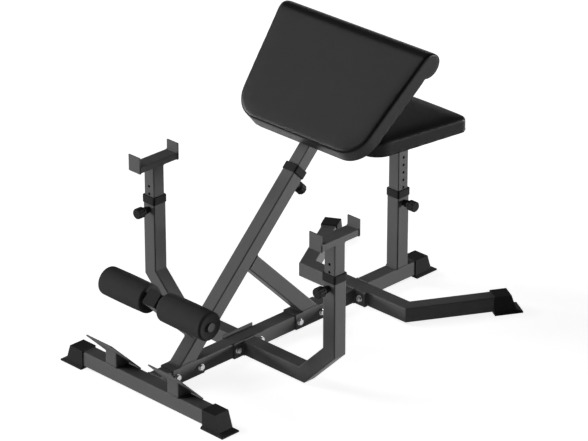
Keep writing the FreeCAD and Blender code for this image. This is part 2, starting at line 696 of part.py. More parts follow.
def foot_caps():
    for side, sign, heading in (("left", -1, 180), ("right", 1, 0)):
        foot_cap(f"front_cap_{side}", S.front_bar_length / 2 * sign, S.front_bar_y, heading)
        splay = S.leg_splay * sign
        tip_x = S.rear_half * sign + S.leg_length * sine(splay)
        tip_y = REAR_BAR_Y + S.leg_length * cosine(splay)
        foot_cap(f"rear_cap_{side}", tip_x, tip_y, RIGHT - splay)
    foot_cap("rear_cap_middle", ZERO, REAR_BAR_Y + S.tube / 2 + S.middle_leg_length, 90)


# Where each sliding tube leaves its outer tube, and which way its lock pin points
SLIDES = {
    "column": {"top": on_column(ZERO, S.column_length), "lean": ((1, 0, 0), LEAN),
               "pin": on_column(ZERO, S.column_length - S.pin_drop),
               "pull": ((1, 0, 0), S.column_angle + 180)},
    "seat": {"top": (ZERO, POST_Y, S.post_top), "lean": ((0, 0, 1), ZERO),
             "pin": (ZERO, POST_Y, S.post_top - S.pin_drop), "pull": ((0, 1, 0), RIGHT)},
    "rack_left": {"top": (-S.rack_half, RACK_Y, S.rack_top), "lean": ((0, 0, 1), ZERO),
                  "pin": (-S.rack_half, RACK_Y, S.rack_top - S.pin_drop), "pull": ((1, 0, 0), RIGHT)},
    "rack_right": {"top": (S.rack_half, RACK_Y, S.rack_top), "lean": ((0, 0, 1), ZERO),
                   "pin": (S.rack_half, RACK_Y, S.rack_top - S.pin_drop), "pull": ((1, 0, 0), RIGHT)},
}


def collar(name, slide):
    """Plastic collar over an outer tube's end, with a mouth for the sliding tube."""
    body = doc.addObject("PartDesign::Body", f"collar_{name}")
    outline = body_sketch(body, f"collar_outline_{name}", "XY_Plane")
    side = S.tube + S.collar_wall * 2
    rounded_rectangle(outline, side, side, S.corner + S.collar_wall)
    block = pad(body, f"collar_block_{name}", outline, S.collar_height)
    doc.recompute()
    edges = body.newObject("PartDesign::Chamfer", f"collar_edges_{name}")
    edges.Base = (block, [furthest_face(block.Shape, Vector(0, 0, sign)) for sign in (-1, 1)])
    bind(edges, "Size", S.collar_edge)
    seat = body_sketch(body, f"collar_seat_{name}", "XY_Plane")
    rounded_rectangle(seat, S.tube, S.tube, S.corner)
    mouth = body_sketch(body, f"collar_mouth_{name}", "XY_Plane")
    opening = S.slide_tube + S.slide_play * 2
    rounded_rectangle(mouth, opening, opening, S.slide_corner + S.slide_play)
    for sketch, depth in ((seat, S.collar_height - S.collar_lip), (mouth, S.collar_height)):
        room = body.newObject("PartDesign::Pocket", sketch.Name + "_room")
        room.Profile = sketch
        room.Reversed = True
        bind(room, "Length", depth)
    axis, turn = slide["lean"]
    drop = S.collar_height - S.collar_lip
    if name == "column":
        base = on_column(ZERO, S.column_length - drop)
    else:
        base = (slide["top"][0], slide["top"][1], slide["top"][2] - drop)
    node(f"{name}_collar", place(body, base, axis, turn))


def lock_pin(name, slide):
    """Boss on the outer tube, and the pull knob with its pin, drawn clear of the sliding tube."""
    base = slide["pin"]
    axis, turn = slide["pull"]

    def out(distance):
        """Place on the pin's axis at a distance from the sliding tube's axis."""
        if name == "column":
            return on_column(distance, S.column_length - S.pin_drop)
        if name == "seat":
            return (distance, base[1], base[2])
        return (base[0], base[1] - distance, base[2])

    def rod(part, radius, start, length):
        return cylinder(f"{part}_{name}", radius, length, out(start), axis, turn)

    pin = S.pin_diameter / 2
    face = S.tube / 2
    boss = rod("boss_block", S.boss_diameter / 2, face, S.boss_height)
    boss = cut(f"boss_{name}", boss, rod("boss_bore", pin + S.pin_play, face, S.boss_height))
    tip = S.slide_tube / 2 + S.pin_clear
    grip = face + S.boss_height + S.pin_travel + S.pin_clear
    neck = S.knob_length / 4
    seat_depth = S.knob_length / 2
    node(f"pin_{name}", rod("pin_rod", pin, tip, grip + seat_depth - tip))
    body = rod("knob_body", S.knob_diameter / 2, grip + neck, S.knob_length - neck - S.knob_edge)
    cones = []
    for part, start, radius, end_radius, length in (
            ("shoulder", grip, S.knob_neck / 2, S.knob_diameter / 2, neck),
            ("end", grip + S.knob_length - S.knob_edge,
             S.knob_diameter / 2, S.knob_diameter / 2 - S.knob_edge, S.knob_edge)):
        cone = doc.addObject("Part::Cone", f"knob_{part}_{name}")
        bind(cone, "Radius1", radius)
        bind(cone, "Radius2", end_radius)
        bind(cone, "Height", length)
        cones.append(place(cone, out(start), axis, turn))
    flutes = []
    for i in range(KNOB_FLUTES):
        flute = doc.addObject("Part::Cylinder", f"flute_{name}_{i}")
        bind(flute, "Radius", S.knob_flute)
        bind(flute, "Height", S.knob_length)
        angle = size_of(360.0 * i / KNOB_FLUTES)
        far = S.knob_diameter / 2 + S.knob_flute / 3
        place(flute, (far * cosine(angle), far * sine(angle), neck))
        flutes.append(flute)
    ring_of_flutes = place(group(f"flutes_{name}", *flutes), out(grip), axis, turn)
    hole = rod("knob_hole", pin, grip, seat_depth)
    form = fuse(f"knob_form_{name}", body, *cones)
    node(f"knob_{name}", cut(f"knob_{name}", form, ring_of_flutes, hole))
    return boss


def sliding_pieces():
    bosses = []
    for name, slide in SLIDES.items():
        collar(name, slide)
        bosses.append(lock_pin(name, slide))
    node("pin_bosses", group("pin_bosses", *bosses))


def adjusting_holes(name, place_of, axis, turn, low, high):
    """Holes through one wall of a sliding tube, a pitch apart, counted from the one at the pin."""
    drills = []
    for count in range(low, high + 1):
        base = place_of(S.hole_pitch * count)
        drills.append(cylinder(f"{name}_{count - low}", S.hole_diameter / 2, S.slide_tube, base, axis, turn))
    return drills


def screw(name, grip, where):
    """Small hex-headed bolt from its head into a board."""
    head = hexagon(name + "_head", S.screw_across, S.screw_head, **where(-S.screw_head))
    shank = cylinder(name + "_shank", S.screw_diameter / 2, grip + S.screw_bite, **where(ZERO))
    return fuse(name, head, shank)


def tapered_outline(low, high, low_half, high_half, low_round, high_round):
    """Face in the XY plane that widens from low to high, the same on both sides, with round corners."""
    corners = [(low_half, low), (high_half, high), (-high_half, high), (-low_half, low)]
    radii = [low_round, high_round, high_round, low_round]
    points = [Vector(x, y, 0) for x, y in corners]
    edges = []
    ends = []
    for i, (point, radius) in enumerate(zip(points, radii)):
        before = (points[i - 1] - point).normalize()
        after = (points[(i + 1) % 4] - point).normalize()
        if radius <= 0:
            ends.append((point, None, point))
            continue
        half_angle = before.getAngle(after) / 2
        back = radius / math.tan(half_angle)
        middle = (before + after).normalize()
        inward = point + middle * (radius / math.sin(half_angle))
        ends.append((point + before * back, inward - middle * radius, point + after * back))
    for i, (start, via, end) in enumerate(ends):
        if via is not None:
            edges.append(Part.Arc(start, via, end).toShape())
        edges.append(Part.LineSegment(end, ends[(i + 1) % 4][0]).toShape())
    return Part.Face(Part.Wire(edges))


def shaped(name, shape, base, axis=(0, 0, 1), turn=ZERO):
    """Solid worked out here from the sheet's values, then put in its place."""
    item = doc.addObject("Part::Feature", name)
    item.Shape = shape
    return place(item, base, axis, turn)


def pad_section():
    """Side view of the arm pad: x up the slope, y out of its back; the crowned face runs into a round roll.

    The section starts below the pad's lower edge, where the pad's outline then cuts it.
    """
    thick = S.pad_thick.value
    roll = S.pad_roll.value
    middle = Vector(S.pad_length.value - roll, thick - roll, 0)
    swell = (middle.x ** 2 + S.pad_crown.value ** 2) / (2 * S.pad_crown.value)
    start = -S.pad_corner.value

    def on_face(x):
        return Vector(x, thick - swell + math.sqrt(swell ** 2 - (middle.x - x) ** 2), 0)

    def on_roll(angle):
        return middle + Vector(math.cos(angle), math.sin(angle), 0) * roll

    notch = math.asin(middle.y / roll) - math.pi
    turns = [math.pi / 2 + (notch - math.pi / 2) * i / 6 for i in range(7)]
    back = Vector(start, 0, 0)
    curves = [Part.LineSegment(back, on_face(start)),
              Part.Arc(on_face(start), on_face((start + middle.x) / 2), on_face(middle.x))]
    curves += [Part.Arc(*[on_roll(turn) for turn in turns[i:i + 3]]) for i in (0, 2, 4)]
    curves.append(Part.LineSegment(on_roll(turns[-1]), back))
    return Part.Face(Part.Wire([curve.toShape() for curve in curves]))


def pad_outline(height):
    """Outline of the arm pad at a height above its back: towards its face the sides lean out, the foot up."""
    share = height / S.pad_thick.value
    length = S.pad_length.value
    low_half = S.pad_low_width.value / 2
    high_half = S.pad_top_width.value / 2
    drawn = S.pad_draw.value * (1 - share)
    foot = S.pad_lean.value * share
    foot_half = low_half + (high_half - low_half) * foot / length
    halves = (foot_half - drawn, high_half - drawn)
    wire = tapered_outline(foot, length, *halves, S.pad_corner.value, 0).OuterWire
    wire.translate(Vector(0, 0, height))
    return wire


def pad_form():
    """Block that trims the arm pad: leaning sides and foot, and round lower corners that lean with them."""
    low = pad_outline(-S.pad_roll.value)
    high = pad_outline(S.pad_thick.value + S.pad_roll.value)
    faces = [Part.Face(low), Part.Face(high)]
    for start, end in zip(low.Edges, high.Edges):
        corners = [vertex.Point for vertex in start.Vertexes + end.Vertexes[::-1]]
        if isinstance(start.Curve, Part.Line):
            faces.append(Part.Face(Part.makePolygon(corners + corners[:1])))
        else:
            faces.append(start.extrude(corners[3] - corners[0]))
    shell = Part.makeShell(faces)
    shell.sewShape()
    return Part.makeSolid(shell)


def arm_pad():
    """Sliding tube, two carriers across it, the plywood board and the padded, tapered arm rest."""
    tube = slide_tube("pad_tube_run", S.pad_tube_length)
    place(tube, on_column(ZERO, S.pad_tube_start), (1, 0, 0), LEAN)
    pin_along = S.column_length - S.pin_drop
    drills = adjusting_holes("pad_hole", lambda step: on_column(ZERO, pin_along + step),
                             (1, 0, 0), S.column_angle + 180, *PAD_STEPS)
    node("pad_tube", cut("pad_tube", tube, *drills))
    plug = end_plug("pad_tube_plug", S.slide_tube, S.slide_wall, S.slide_corner)
    node("pad_tube_plug", place(plug, on_column(ZERO, PAD_TUBE_END), (1, 0, 0), LEAN))

    front = S.slide_tube / 2
    tall = S.pad_rise - front
    carriers = []
    plugs = []
    bolts = []
    board_drills = []
    for name, along in (("low", S.bar_low), ("high", S.bar_high)):
        middle = PAD_AT + along

        def block(part, start, length, inset, middle=middle):
            """Box along the carrier, inset from its outside all round."""
            extent = (length, tall - inset * 2, S.bar_width - inset * 2)
            y, z = on_column(-S.pad_rise + inset, middle - S.bar_width / 2 + inset)[1:]
            return box(part, extent, (start, y, z), (1, 0, 0), LEAN)

        half = S.bar_length / 2
        bar = block(f"carrier_{name}_bar", -half, S.bar_length, ZERO)
        room = block(f"carrier_{name}_room", -half, S.bar_length, S.slide_wall)
        holes = []
        for side, sign in (("left", -1), ("right", 1)):
            def where(distance, sign=sign, middle=middle):
                y, z = on_column(-front - distance, middle)[1:]
                return {"base": (S.pad_bolt_x * sign, y, z), "axis": (1, 0, 0), "turn": S.column_angle}
            holes.append(cylinder(f"carrier_{name}_drill_{side}", S.screw_diameter / 2 + S.bolt_play, tall,
                                  **where(ZERO)))
            board_drills.append(cylinder(f"pad_board_drill_{name}_{side}", S.screw_diameter / 2, S.screw_bite,
                                         **where(tall)))
            bolts.append(screw(f"pad_bolt_{name}_{side}", tall, where))
            plate_start = half if sign > 0 else -half - S.slide_wall
            spigot_start = half - S.cap_end if sign > 0 else -half
            plate = block(f"carrier_plate_{name}_{side}", plate_start, S.slide_wall, ZERO)
            spigot = block(f"carrier_spigot_{name}_{side}", spigot_start, S.cap_end, S.slide_wall)
            plugs.append(fuse(f"carrier_plug_{name}_{side}", plate, spigot))
        carriers.append(cut(f"carrier_{name}", bar, room, *holes))
    node("pad_carriers", group("pad_carriers", *carriers))
    node("carrier_plugs", group("carrier_plugs", *plugs))
    node("pad_bolts", group("pad_bolts", *bolts))

    # In the pad's own frame x is across, y up the slope and z out of its back
    slope = (1, 0, 0), S.column_angle
    origin = on_column(-S.pad_rise, PAD_AT)
    length = S.pad_length.value
    low_half = S.pad_low_width.value / 2 - S.pad_draw.value
    high_half = S.pad_top_width.value / 2 - S.pad_draw.value
    inset = S.board_inset.value
    board_end = length - S.pad_roll.value * 2 - inset
    board_halves = [low_half + (high_half - low_half) * y / length - inset for y in (inset, board_end)]
    board_face = tapered_outline(inset, board_end, *board_halves, S.pad_corner.value - inset, inset)
    board_solid = board_face.extrude(Vector(0, 0, S.board.value))
    section = pad_section()
    section.Placement = Placement(Vector(-length, 0, 0), Rotation(Vector(1, 1, 1), 120))
    slab = section.extrude(Vector(length * 2, 0, 0))
    trimmed = slab.common(pad_form()).Solids[0]
    roll_start = length - S.pad_roll.value * 1.5
    rim = [edge for edge in trimmed.Edges
           if edge.BoundBox.ZMin > S.pad_thick.value / 2 and edge.BoundBox.YMin < roll_start]
    cushion = trimmed.makeFillet(S.pad_edge.value, rim).cut(board_solid)
    board_item = shaped("pad_board_block", board_solid, origin, *slope)
    node("pad_board", cut("pad_board", board_item, *board_drills))
    node("pad_cushion", shaped("pad_cushion", cushion, origin, *slope))


def seat():
    """Sliding post, its plate, the plywood board and the padded seat."""
    length = S.seat_height - S.seat_plate - S.seat_tube_low
    tube = place(slide_tube("seat_tube_run", length), (ZERO, POST_Y, S.seat_tube_low))
    pin_z = S.post_top - S.pin_drop
    drills = adjusting_holes("seat_hole", lambda step: (ZERO, POST_Y, pin_z + step),
                             (0, 1, 0), RIGHT, *SEAT_STEPS)
    node("seat_tube", cut("seat_tube", tube, *drills))
    plate_z = S.seat_height - S.seat_plate
    plate = doc.addObject("PartDesign::Body", "seat_plate_block")
    sketch = body_sketch(plate, "seat_plate_outline", "XY_Plane")
    rounded_rectangle(sketch, S.seat_plate_side, S.seat_plate_side, S.foot_corner)
    pad(plate, "seat_plate_thickness", sketch, S.seat_plate)
    place(plate, (ZERO, POST_Y, plate_z))
    holes = []
    board_drills = []
    bolts = []
    for i, (sx, sy) in enumerate(((-1, -1), (1, -1), (1, 1), (-1, 1))):
        def where(distance, sx=sx, sy=sy):
            return {"base": (S.seat_bolt_half * sx, POST_Y + S.seat_bolt_half * sy, plate_z + distance)}
        screw_half = S.screw_diameter / 2
        clear = screw_half + S.bolt_play
        holes.append(cylinder(f"seat_plate_drill_{i}", clear, S.seat_plate, **where(ZERO)))
        bite = where(S.seat_plate)
        board_drills.append(cylinder(f"seat_board_drill_{i}", screw_half, S.screw_bite, **bite))
        bolts.append(screw(f"seat_bolt_{i}", S.seat_plate, where))
    node("seat_plate", cut("seat_plate", plate, *holes))
    node("seat_bolts", group("seat_bolts", *bolts))

    low = -S.seat_front.value
    high = S.seat_back.value
    front_half = S.seat_front_width.value / 2
    back_half = S.seat_back_width.value / 2
    corners = (S.seat_front_corner.value, S.seat_back_corner.value)
    outline = tapered_outline(low, high, front_half, back_half, *corners)
    block = outline.extrude(Vector(0, 0, S.seat_thick.value))
    # The crown is a shallow cylinder along the seat
    radius = (back_half ** 2 + S.seat_crown.value ** 2) / (2 * S.seat_crown.value)
    crown_start = Vector(0, low * 2, S.seat_thick.value - radius)
    crown = Part.makeCylinder(radius, (high - low) * 2, crown_start, Vector(0, 1, 0))
    block = block.common(crown)
    rim = [edge for edge in block.Edges if edge.BoundBox.ZMin > S.seat_thick.value / 2]
    block = block.makeFillet(S.seat_edge.value, rim)
    inset = S.board_inset.value
    board_face = tapered_outline(low + inset, high - inset, front_half - inset, back_half - inset,
                                 *[corner - inset for corner in corners])
    board_solid = board_face.extrude(Vector(0, 0, S.board.value))
    origin = (ZERO, POST_Y, S.seat_height)
    node("seat_board", cut("seat_board", shaped("seat_board_block", board_solid, origin), *board_drills))
    node("seat_cushion", shaped("seat_cushion", block.cut(board_solid), origin))


def bar_rests():
    """Sliding tube with a flat tray and two upright lips that hold a bar."""
    for side, sign in (("left", -1), ("right", 1)):
        x = S.rack_half * sign
        tube = place(slide_tube(f"rest_run_{side}", S.rest_height - S.rest_low), (x, RACK_Y, S.rest_low))
        pin_z = S.rack_top - S.pin_drop
        drills = adjusting_holes(f"rest_hole_{side}", lambda step, x=x: (x, RACK_Y, pin_z + step),
                                 (1, 0, 0), RIGHT, *REST_STEPS)
        node(f"rest_tube_{side}", cut(f"rest_tube_{side}", tube, *drills))
        half = S.tray_length / 2
        tray = doc.addObject("PartDesign::Body", f"tray_{side}")
        sketch = body_sketch(tray, f"tray_section_{side}", "XY_Plane")
        rounded_rectangle(sketch, S.tube, S.tray_height, S.slide_corner)
        rounded_rectangle(sketch, S.tube - S.wall * 2, S.tray_height - S.wall * 2, S.slide_corner - S.wall)
        pad(tray, f"tray_run_{side}", sketch, S.tray_length)
        place(tray, **along_y(x, RACK_Y - half, S.rest_height + S.tray_height / 2))
        lips = []
        for end, start in (("front", RACK_Y - half - S.lip_plate), ("rear", RACK_Y + half)):
            extent = (S.tube, S.lip_plate, S.lip_height)
            lips.append(box(f"lip_{end}_{side}", extent, (x - S.tube / 2, start, S.rest_height)))
        node(f"bar_rest_{side}", group(f"bar_rest_{side}", tray, *lips))


front_foot()
rail()
saddles()
column()
rollers()
rack()
rear_base()
foot_caps()
sliding_pieces()
arm_pad()
seat()
bar_rests()

doc.recompute()
faults = [item.Label for item in doc.Objects if {"Invalid", "Error"} & set(item.State)]
faults += [label for label, item in nodes.items() if item.Shape.isNull() or not item.Shape.isValid()]
if faults:
    raise RuntimeError("failed objects: " + ", ".join(faults))
os.makedirs("parts", exist_ok=True)
for label, item in nodes.items():
    item.Shape.exportStep(f"parts/{label}.step")
print(len(nodes), "nodes written")
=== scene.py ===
"""Finishes, cushions, rollers, knob skirts, welds and stage for a packed preacher curl bench.

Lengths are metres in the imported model's own frame: X across, Y from the front bar to the seat, Z up.
"""

import json
import math

import bmesh
import bpy
import numpy as np
from bpy.props import FloatProperty, FloatVectorProperty, PointerProperty
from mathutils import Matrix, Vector


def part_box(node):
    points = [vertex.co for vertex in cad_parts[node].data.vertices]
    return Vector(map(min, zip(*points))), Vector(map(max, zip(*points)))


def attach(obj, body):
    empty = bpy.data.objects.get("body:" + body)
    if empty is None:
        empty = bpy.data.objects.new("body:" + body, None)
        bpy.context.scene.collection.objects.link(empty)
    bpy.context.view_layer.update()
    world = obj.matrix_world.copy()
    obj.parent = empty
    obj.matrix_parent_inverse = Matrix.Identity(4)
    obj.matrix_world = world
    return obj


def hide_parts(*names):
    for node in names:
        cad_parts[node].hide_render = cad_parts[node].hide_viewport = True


bl_info = {
    "name": "Preacher Curl Bench",
    "version": (1, 0, 0),
    "blender": (4, 5, 0),
    "location": "View3D > Sidebar > Bench",
    "description": "Finishes, cushions, rollers, knob skirts, welds and stage for the packed bench",
    "category": "Object",
}

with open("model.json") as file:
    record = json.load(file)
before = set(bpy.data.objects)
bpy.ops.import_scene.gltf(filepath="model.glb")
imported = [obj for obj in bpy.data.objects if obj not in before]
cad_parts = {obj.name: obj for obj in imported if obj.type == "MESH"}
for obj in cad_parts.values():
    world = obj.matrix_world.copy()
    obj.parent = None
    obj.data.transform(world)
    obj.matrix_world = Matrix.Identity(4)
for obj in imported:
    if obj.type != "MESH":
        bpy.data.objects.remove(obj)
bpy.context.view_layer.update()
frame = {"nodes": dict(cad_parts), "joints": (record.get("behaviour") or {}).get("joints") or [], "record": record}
NODES = frame["nodes"]
RECORD = frame["record"]
JOINTS = {joint["name"]: joint for joint in frame["joints"]}


def low_high(node):
    """Lowest and highest corner of a solid, as arrays."""
    low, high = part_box(node)
    return np.array(low), np.array(high)


def middle(node):
    low, high = low_high(node)
    return (low + high) / 2


# Directions: across the bench, up the leaning column, and out of the arm pad's face
ACROSS = np.array([1.0, 0.0, 0.0])
UP = np.array([0.0, 0.0, 1.0])
ALONG = np.array([0.0, 1.0, 0.0])
SLOPE = np.array(JOINTS["pad_slide"]["axis"], float)
FACE = np.array([0.0, -SLOPE[2], SLOPE[1]])

# Places and sizes that the solids give
BASE_LOW, BASE_HIGH = low_high("main_rail")
TUBE = BASE_HIGH[2] - BASE_LOW[2]
BASE_MID = middle("main_rail")[2]
BASE_TOP = BASE_HIGH[2]
SADDLE_TOP = low_high("column_saddle")[1][2]
COLUMN_FOOT = np.array([0.0, middle("column_saddle")[1], SADDLE_TOP])
BRACE_FOOT = np.array([0.0, middle("brace_saddle")[1], SADDLE_TOP])
RACK_Y = middle("rack_saddle")[1]
RACK_X = middle("rest_tube_right")[0]
POST = middle("seat_post")
SLIDE = low_high("seat_tube")[1][0] * 2
SADDLE_HALF = low_high("rack_saddle")[1][0]
RACK_LOW = low_high("rack_arm_right")[0][2] + TUBE / 2

# The pin of each lock, and how far out from the pin's middle its knob's neck begins
LOCK_PINS = {"pad_lock": "pin_column", "seat_lock": "pin_seat", "rest_lock_left": "pin_rack_left",
             "rest_lock_right": "pin_rack_right"}
NECK_FROM_PIN = 0.0035

# Forms of the two cushions, as the solids have them
PAD = {"length": 0.413, "thick": 0.066, "roll": 0.044, "top": 0.321, "low": 0.265, "draw": 0.007,
       "lean": 0.008, "corner": 0.096, "crown": 0.008}
SEAT = {"front": -0.213, "back": 0.164, "front_half": 0.102, "back_half": 0.1545,
        "front_corner": 0.064, "back_corner": 0.024}

# Points on a corner's arc, and the least radius that a corner keeps where an outline moves in
CORNER_POINTS = 13
LEAST_CORNER = 0.002

# Cushions: the height of the back that is held on the board, how far that back is tucked in so that the
# board shows, the board's margin outside the hem and its upper corners, the filling's frames and the rounds
# that even it out
BACK_BAND = 0.004
BACK_TUCK = 0.0025
HEM_MARGIN = 0.004
BOARD_CORNER = 0.006
FILL_FRAMES = 20
EVEN_ROUNDS = 40

# Each lamp's direction and its spread in degrees
LAMPS = {"right_lamp": ((-0.50, -0.866, -0.01), 12), "left_lamp": ((0.87, 0.49, -0.05), 16),
         "high_lamp": ((0.64, 0.43, -0.64), 28)}

# The floor's own grey, and the glow that lifts it to white
FLOOR_GREY = 0.75
FLOOR_GLOW = 0.865


def colour(name, about, default):
    return FloatVectorProperty(name=name, description=about, subtype="COLOR", size=3, min=0.0,
                               max=1.0, default=default)


def length(name, about, default):
    return FloatProperty(name=name, description=about, subtype="DISTANCE", unit="LENGTH",
                         default=default, min=0.0, precision=4)


def angle(name, about, degrees):
    return FloatProperty(name=name, description=about, subtype="ANGLE", default=math.radians(degrees))


def strength(name, about, default):
    return FloatProperty(name=name, description=about, default=default, min=0.0)


class BenchFinishes(bpy.types.PropertyGroup):
    """Colours of the bench."""

    powder_coat: colour("Powder coat", "Grey paint of the frame", (0.124, 0.124, 0.126))
    cap_plastic: colour("Cap plastic", "Moulded caps, collars and plugs", (0.034, 0.034, 0.0345))
    knob_plastic: colour("Knob plastic", "Pull knobs", (0.028, 0.028, 0.0285))
    zinc_steel: colour("Zinc plating", "Bolts, nuts, washers and pins", (0.62, 0.62, 0.64))
    foam: colour("Roller foam", "Closed-cell foam of the rollers", (0.046, 0.046, 0.0465))
    vinyl: colour("Vinyl", "Cover of the arm pad and the seat", (0.020, 0.020, 0.0205))
    plywood: colour("Plywood", "Boards under the cushions", (0.44, 0.31, 0.19))


class BenchSizes(bpy.types.PropertyGroup):
    """Sizes of the small and soft details."""

    bead: length("Weld bead", "Radius of the weld beads", 0.0026)
    bead_step: length("Weld ripple", "Distance between a bead's ripples", 0.0032)
    voxel: length("Cushion grain", "Side of the cushions' faces before they swell", 0.005)
    pad_swell: length("Pad swell", "Most that the arm pad's cover moves as it fills", 0.0040)
    seat_swell: length("Seat swell", "Most that the seat's cover moves as it fills", 0.0045)
    welt: length("Welt", "Radius of the welt round the arm pad's face", 0.0018)
    skirt: length("Skirt", "Outer radius of the pull knobs' skirts", 0.0120)
    skirt_wall: length("Skirt wall", "Wall of the pull knobs' skirts", 0.0015)
    skirt_length: length("Skirt length", "How far a skirt reaches from its knob towards the tube", 0.0118)
    hem: length("Hem", "Width of the cover's hem on the boards", 0.022)
    staple_gap: length("Staple gap", "Distance between staples", 0.028)


class BenchStage(bpy.types.PropertyGroup):
    """Camera and lamps."""

    azimuth: angle("Azimuth", "Camera's turn round the bench", 44.9)
    elevation: angle("Elevation", "Camera's height above the horizon", 25.3)
    distance: length("Distance", "From the camera to its target", 10.3756)
    lens: FloatProperty(name="Lens", description="Focal length on a 36 mm sensor", unit="CAMERA",
                        default=205.8)
    target: FloatVectorProperty(name="Target", description="Point that the camera looks at",
                                subtype="TRANSLATION", size=3, default=(0.0201, 0.0130, 0.3886))
    right_lamp: strength("Right lamp", "Strength of the low light from behind on the right", 5.6)
    left_lamp: strength("Left lamp", "Strength of the low light from the front left", 3.4)
    high_lamp: strength("High lamp", "Strength of the high light from the front left", 0.8)
    sky: strength("Sky", "Strength of the even light from all round", 0.03)


# Surfaces as arrays

def grid_faces(rows, columns, close_rows, close_columns):
    """Quads between neighbours of a grid of points; a closed side joins its last line to its first."""
    i = np.arange(rows if close_rows else rows - 1)[:, None]
    j = np.arange(columns if close_columns else columns - 1)[None, :]
    below = (i + 1) % rows
    beside = (j + 1) % columns
    corners = [i * columns + j, i * columns + beside, below * columns + beside, below * columns + j]
    return np.stack(np.broadcast_arrays(*corners), axis=-1).reshape(-1, 4)


def outward(points, faces):
    """Faces turned so that the signed volume, the sum of a . (b x c) over their corners, is positive."""
    a, b, c, d = (points[faces[:, k]] for k in range(4))
    volume = np.sum(a * np.cross(b, c)) + np.sum(a * np.cross(c, d))
    return faces if volume > 0 else faces[:, ::-1]


def joined(parts):
    """Several surfaces as one list of points and one of faces."""
    counts = np.cumsum([0] + [len(points) for points, _ in parts])
    points = np.concatenate([points for points, _ in parts])
    faces = [list(np.array(face) + start) for start, (_, faces) in zip(counts, parts) for face in faces]
    return points, faces


def unit(vectors):
    return vectors / np.maximum(np.linalg.norm(vectors, axis=-1, keepdims=True), 1e-12)


def evenly(points, step, closed):
    """Points at even distances along a line of straight runs."""
    line = np.vstack([points, points[:1]]) if closed else points
    run = np.concatenate([[0.0], np.cumsum(np.linalg.norm(np.diff(line, axis=0), axis=1))])
    count = max(8, int(round(run[-1] / step)))
    at = np.linspace(0.0, run[-1], count, endpoint=not closed)
    return np.stack([np.interp(at, run, line[:, k]) for k in range(line.shape[1])], axis=1)


def carried(path, out, profile, closed):
    """Profile carried along a path: point = path + a * side + b * rise.

    side is square to the path's run and to out, and rise is square to run and side. The profile holds
    a and b, for the whole path or for each of its points.
    """
    run = np.roll(path, -1, 0) - np.roll(path, 1, 0) if closed else np.gradient(path, axis=0)
    run = unit(run)
    side = unit(np.cross(run, out))
    rise = np.cross(side, run)
    profile = np.broadcast_to(profile, (len(path), *profile.shape[-2:]))
    points = path[:, None] + profile[..., :1] * side[:, None] + profile[..., 1:] * rise[:, None]
    columns = profile.shape[1]
    points = points.reshape(-1, 3)
    faces = outward(points, grid_faces(len(path), columns, closed, True))
    if closed:
        return points, faces.tolist()
    first = np.arange(columns)
    last = first + columns * (len(path) - 1)
    turned = faces[0, 1] - faces[0, 0] != 1
    ends = [first if turned else first[::-1], last[::-1] if turned else last]
    return points, faces.tolist() + [end.tolist() for end in ends]


def circle(radius, count):
    """Round profile: radius * (cos t, sin t)."""
    t = np.linspace(0.0, 2 * np.pi, count, endpoint=False)
    return radius * np.stack([np.cos(t), np.sin(t)], axis=1)


def tapered_loop(low, high, low_half, high_half, low_round, high_round, inset):
    """Round-cornered outline that widens from low to high, moved in by inset.

    A side x = h + k y moves in by inset * sqrt(1 + k^2). A corner of radius r has its centre r / sin(a)
    from the corner on the halving line, a being half the corner's angle.
    """
    k = (high_half - low_half) / (high - low)
    slant = math.sqrt(1 + k * k)
    near = low_half + k * inset - inset * slant
    far = high_half - k * inset - inset * slant
    corners = np.array([[near, low + inset], [far, high - inset], [-far, high - inset], [-near, low + inset]])
    radii = np.maximum(np.array([low_round, high_round, high_round, low_round]) - inset, LEAST_CORNER)
    before = unit(np.roll(corners, 1, 0) - corners)
    after = unit(np.roll(corners, -1, 0) - corners)
    half = np.arccos(np.clip(np.sum(before * after, axis=1), -1, 1)) / 2
    centers = corners + unit(before + after) * (radii / np.sin(half))[:, None]
    start = corners + before * (radii / np.tan(half))[:, None] - centers
    first = np.arctan2(start[:, 1], start[:, 0])
    t = first[:, None] + (np.pi - 2 * half)[:, None] * np.linspace(0, 1, CORNER_POINTS)[None, :]
    arcs = centers[:, None] + radii[:, None, None] * np.stack([np.cos(t), np.sin(t)], axis=-1)
    return arcs.reshape(-1, 2)


def rectangle_loop(half_u, half_v, radius):
    """Round-cornered rectangle about the origin."""
    return tapered_loop(-half_v, half_v, half_u, half_u, radius, radius, 0.0)


def coordinates(mesh):
    values = np.empty(len(mesh.vertices) * 3, np.float32)
    mesh.vertices.foreach_get("co", values)
    return values.reshape(-1, 3).astype(float)


def move_to(mesh, points):
    mesh.vertices.foreach_set("co", points.astype(np.float32).ravel())
    mesh.update()


def new_object(name, points, faces):
    mesh = bpy.data.meshes.new(name)
    mesh.from_pydata(points.tolist(), [], faces if isinstance(faces, list) else faces.tolist())
    mesh.validate()
    piece = bpy.data.objects.new(name, mesh)
    bpy.context.scene.collection.objects.link(piece)
    return piece


def dress(piece, body, material):
    """Material, smooth shading, and the body that carries a piece."""
    piece.data.materials.clear()
    piece.data.materials.append(material)
    piece.data.polygons.foreach_set("use_smooth", np.ones(len(piece.data.polygons), bool))
    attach(piece, body)
    return piece


# Finishes

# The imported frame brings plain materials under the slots' own names.
FINISH_NAME = "bench_{}"


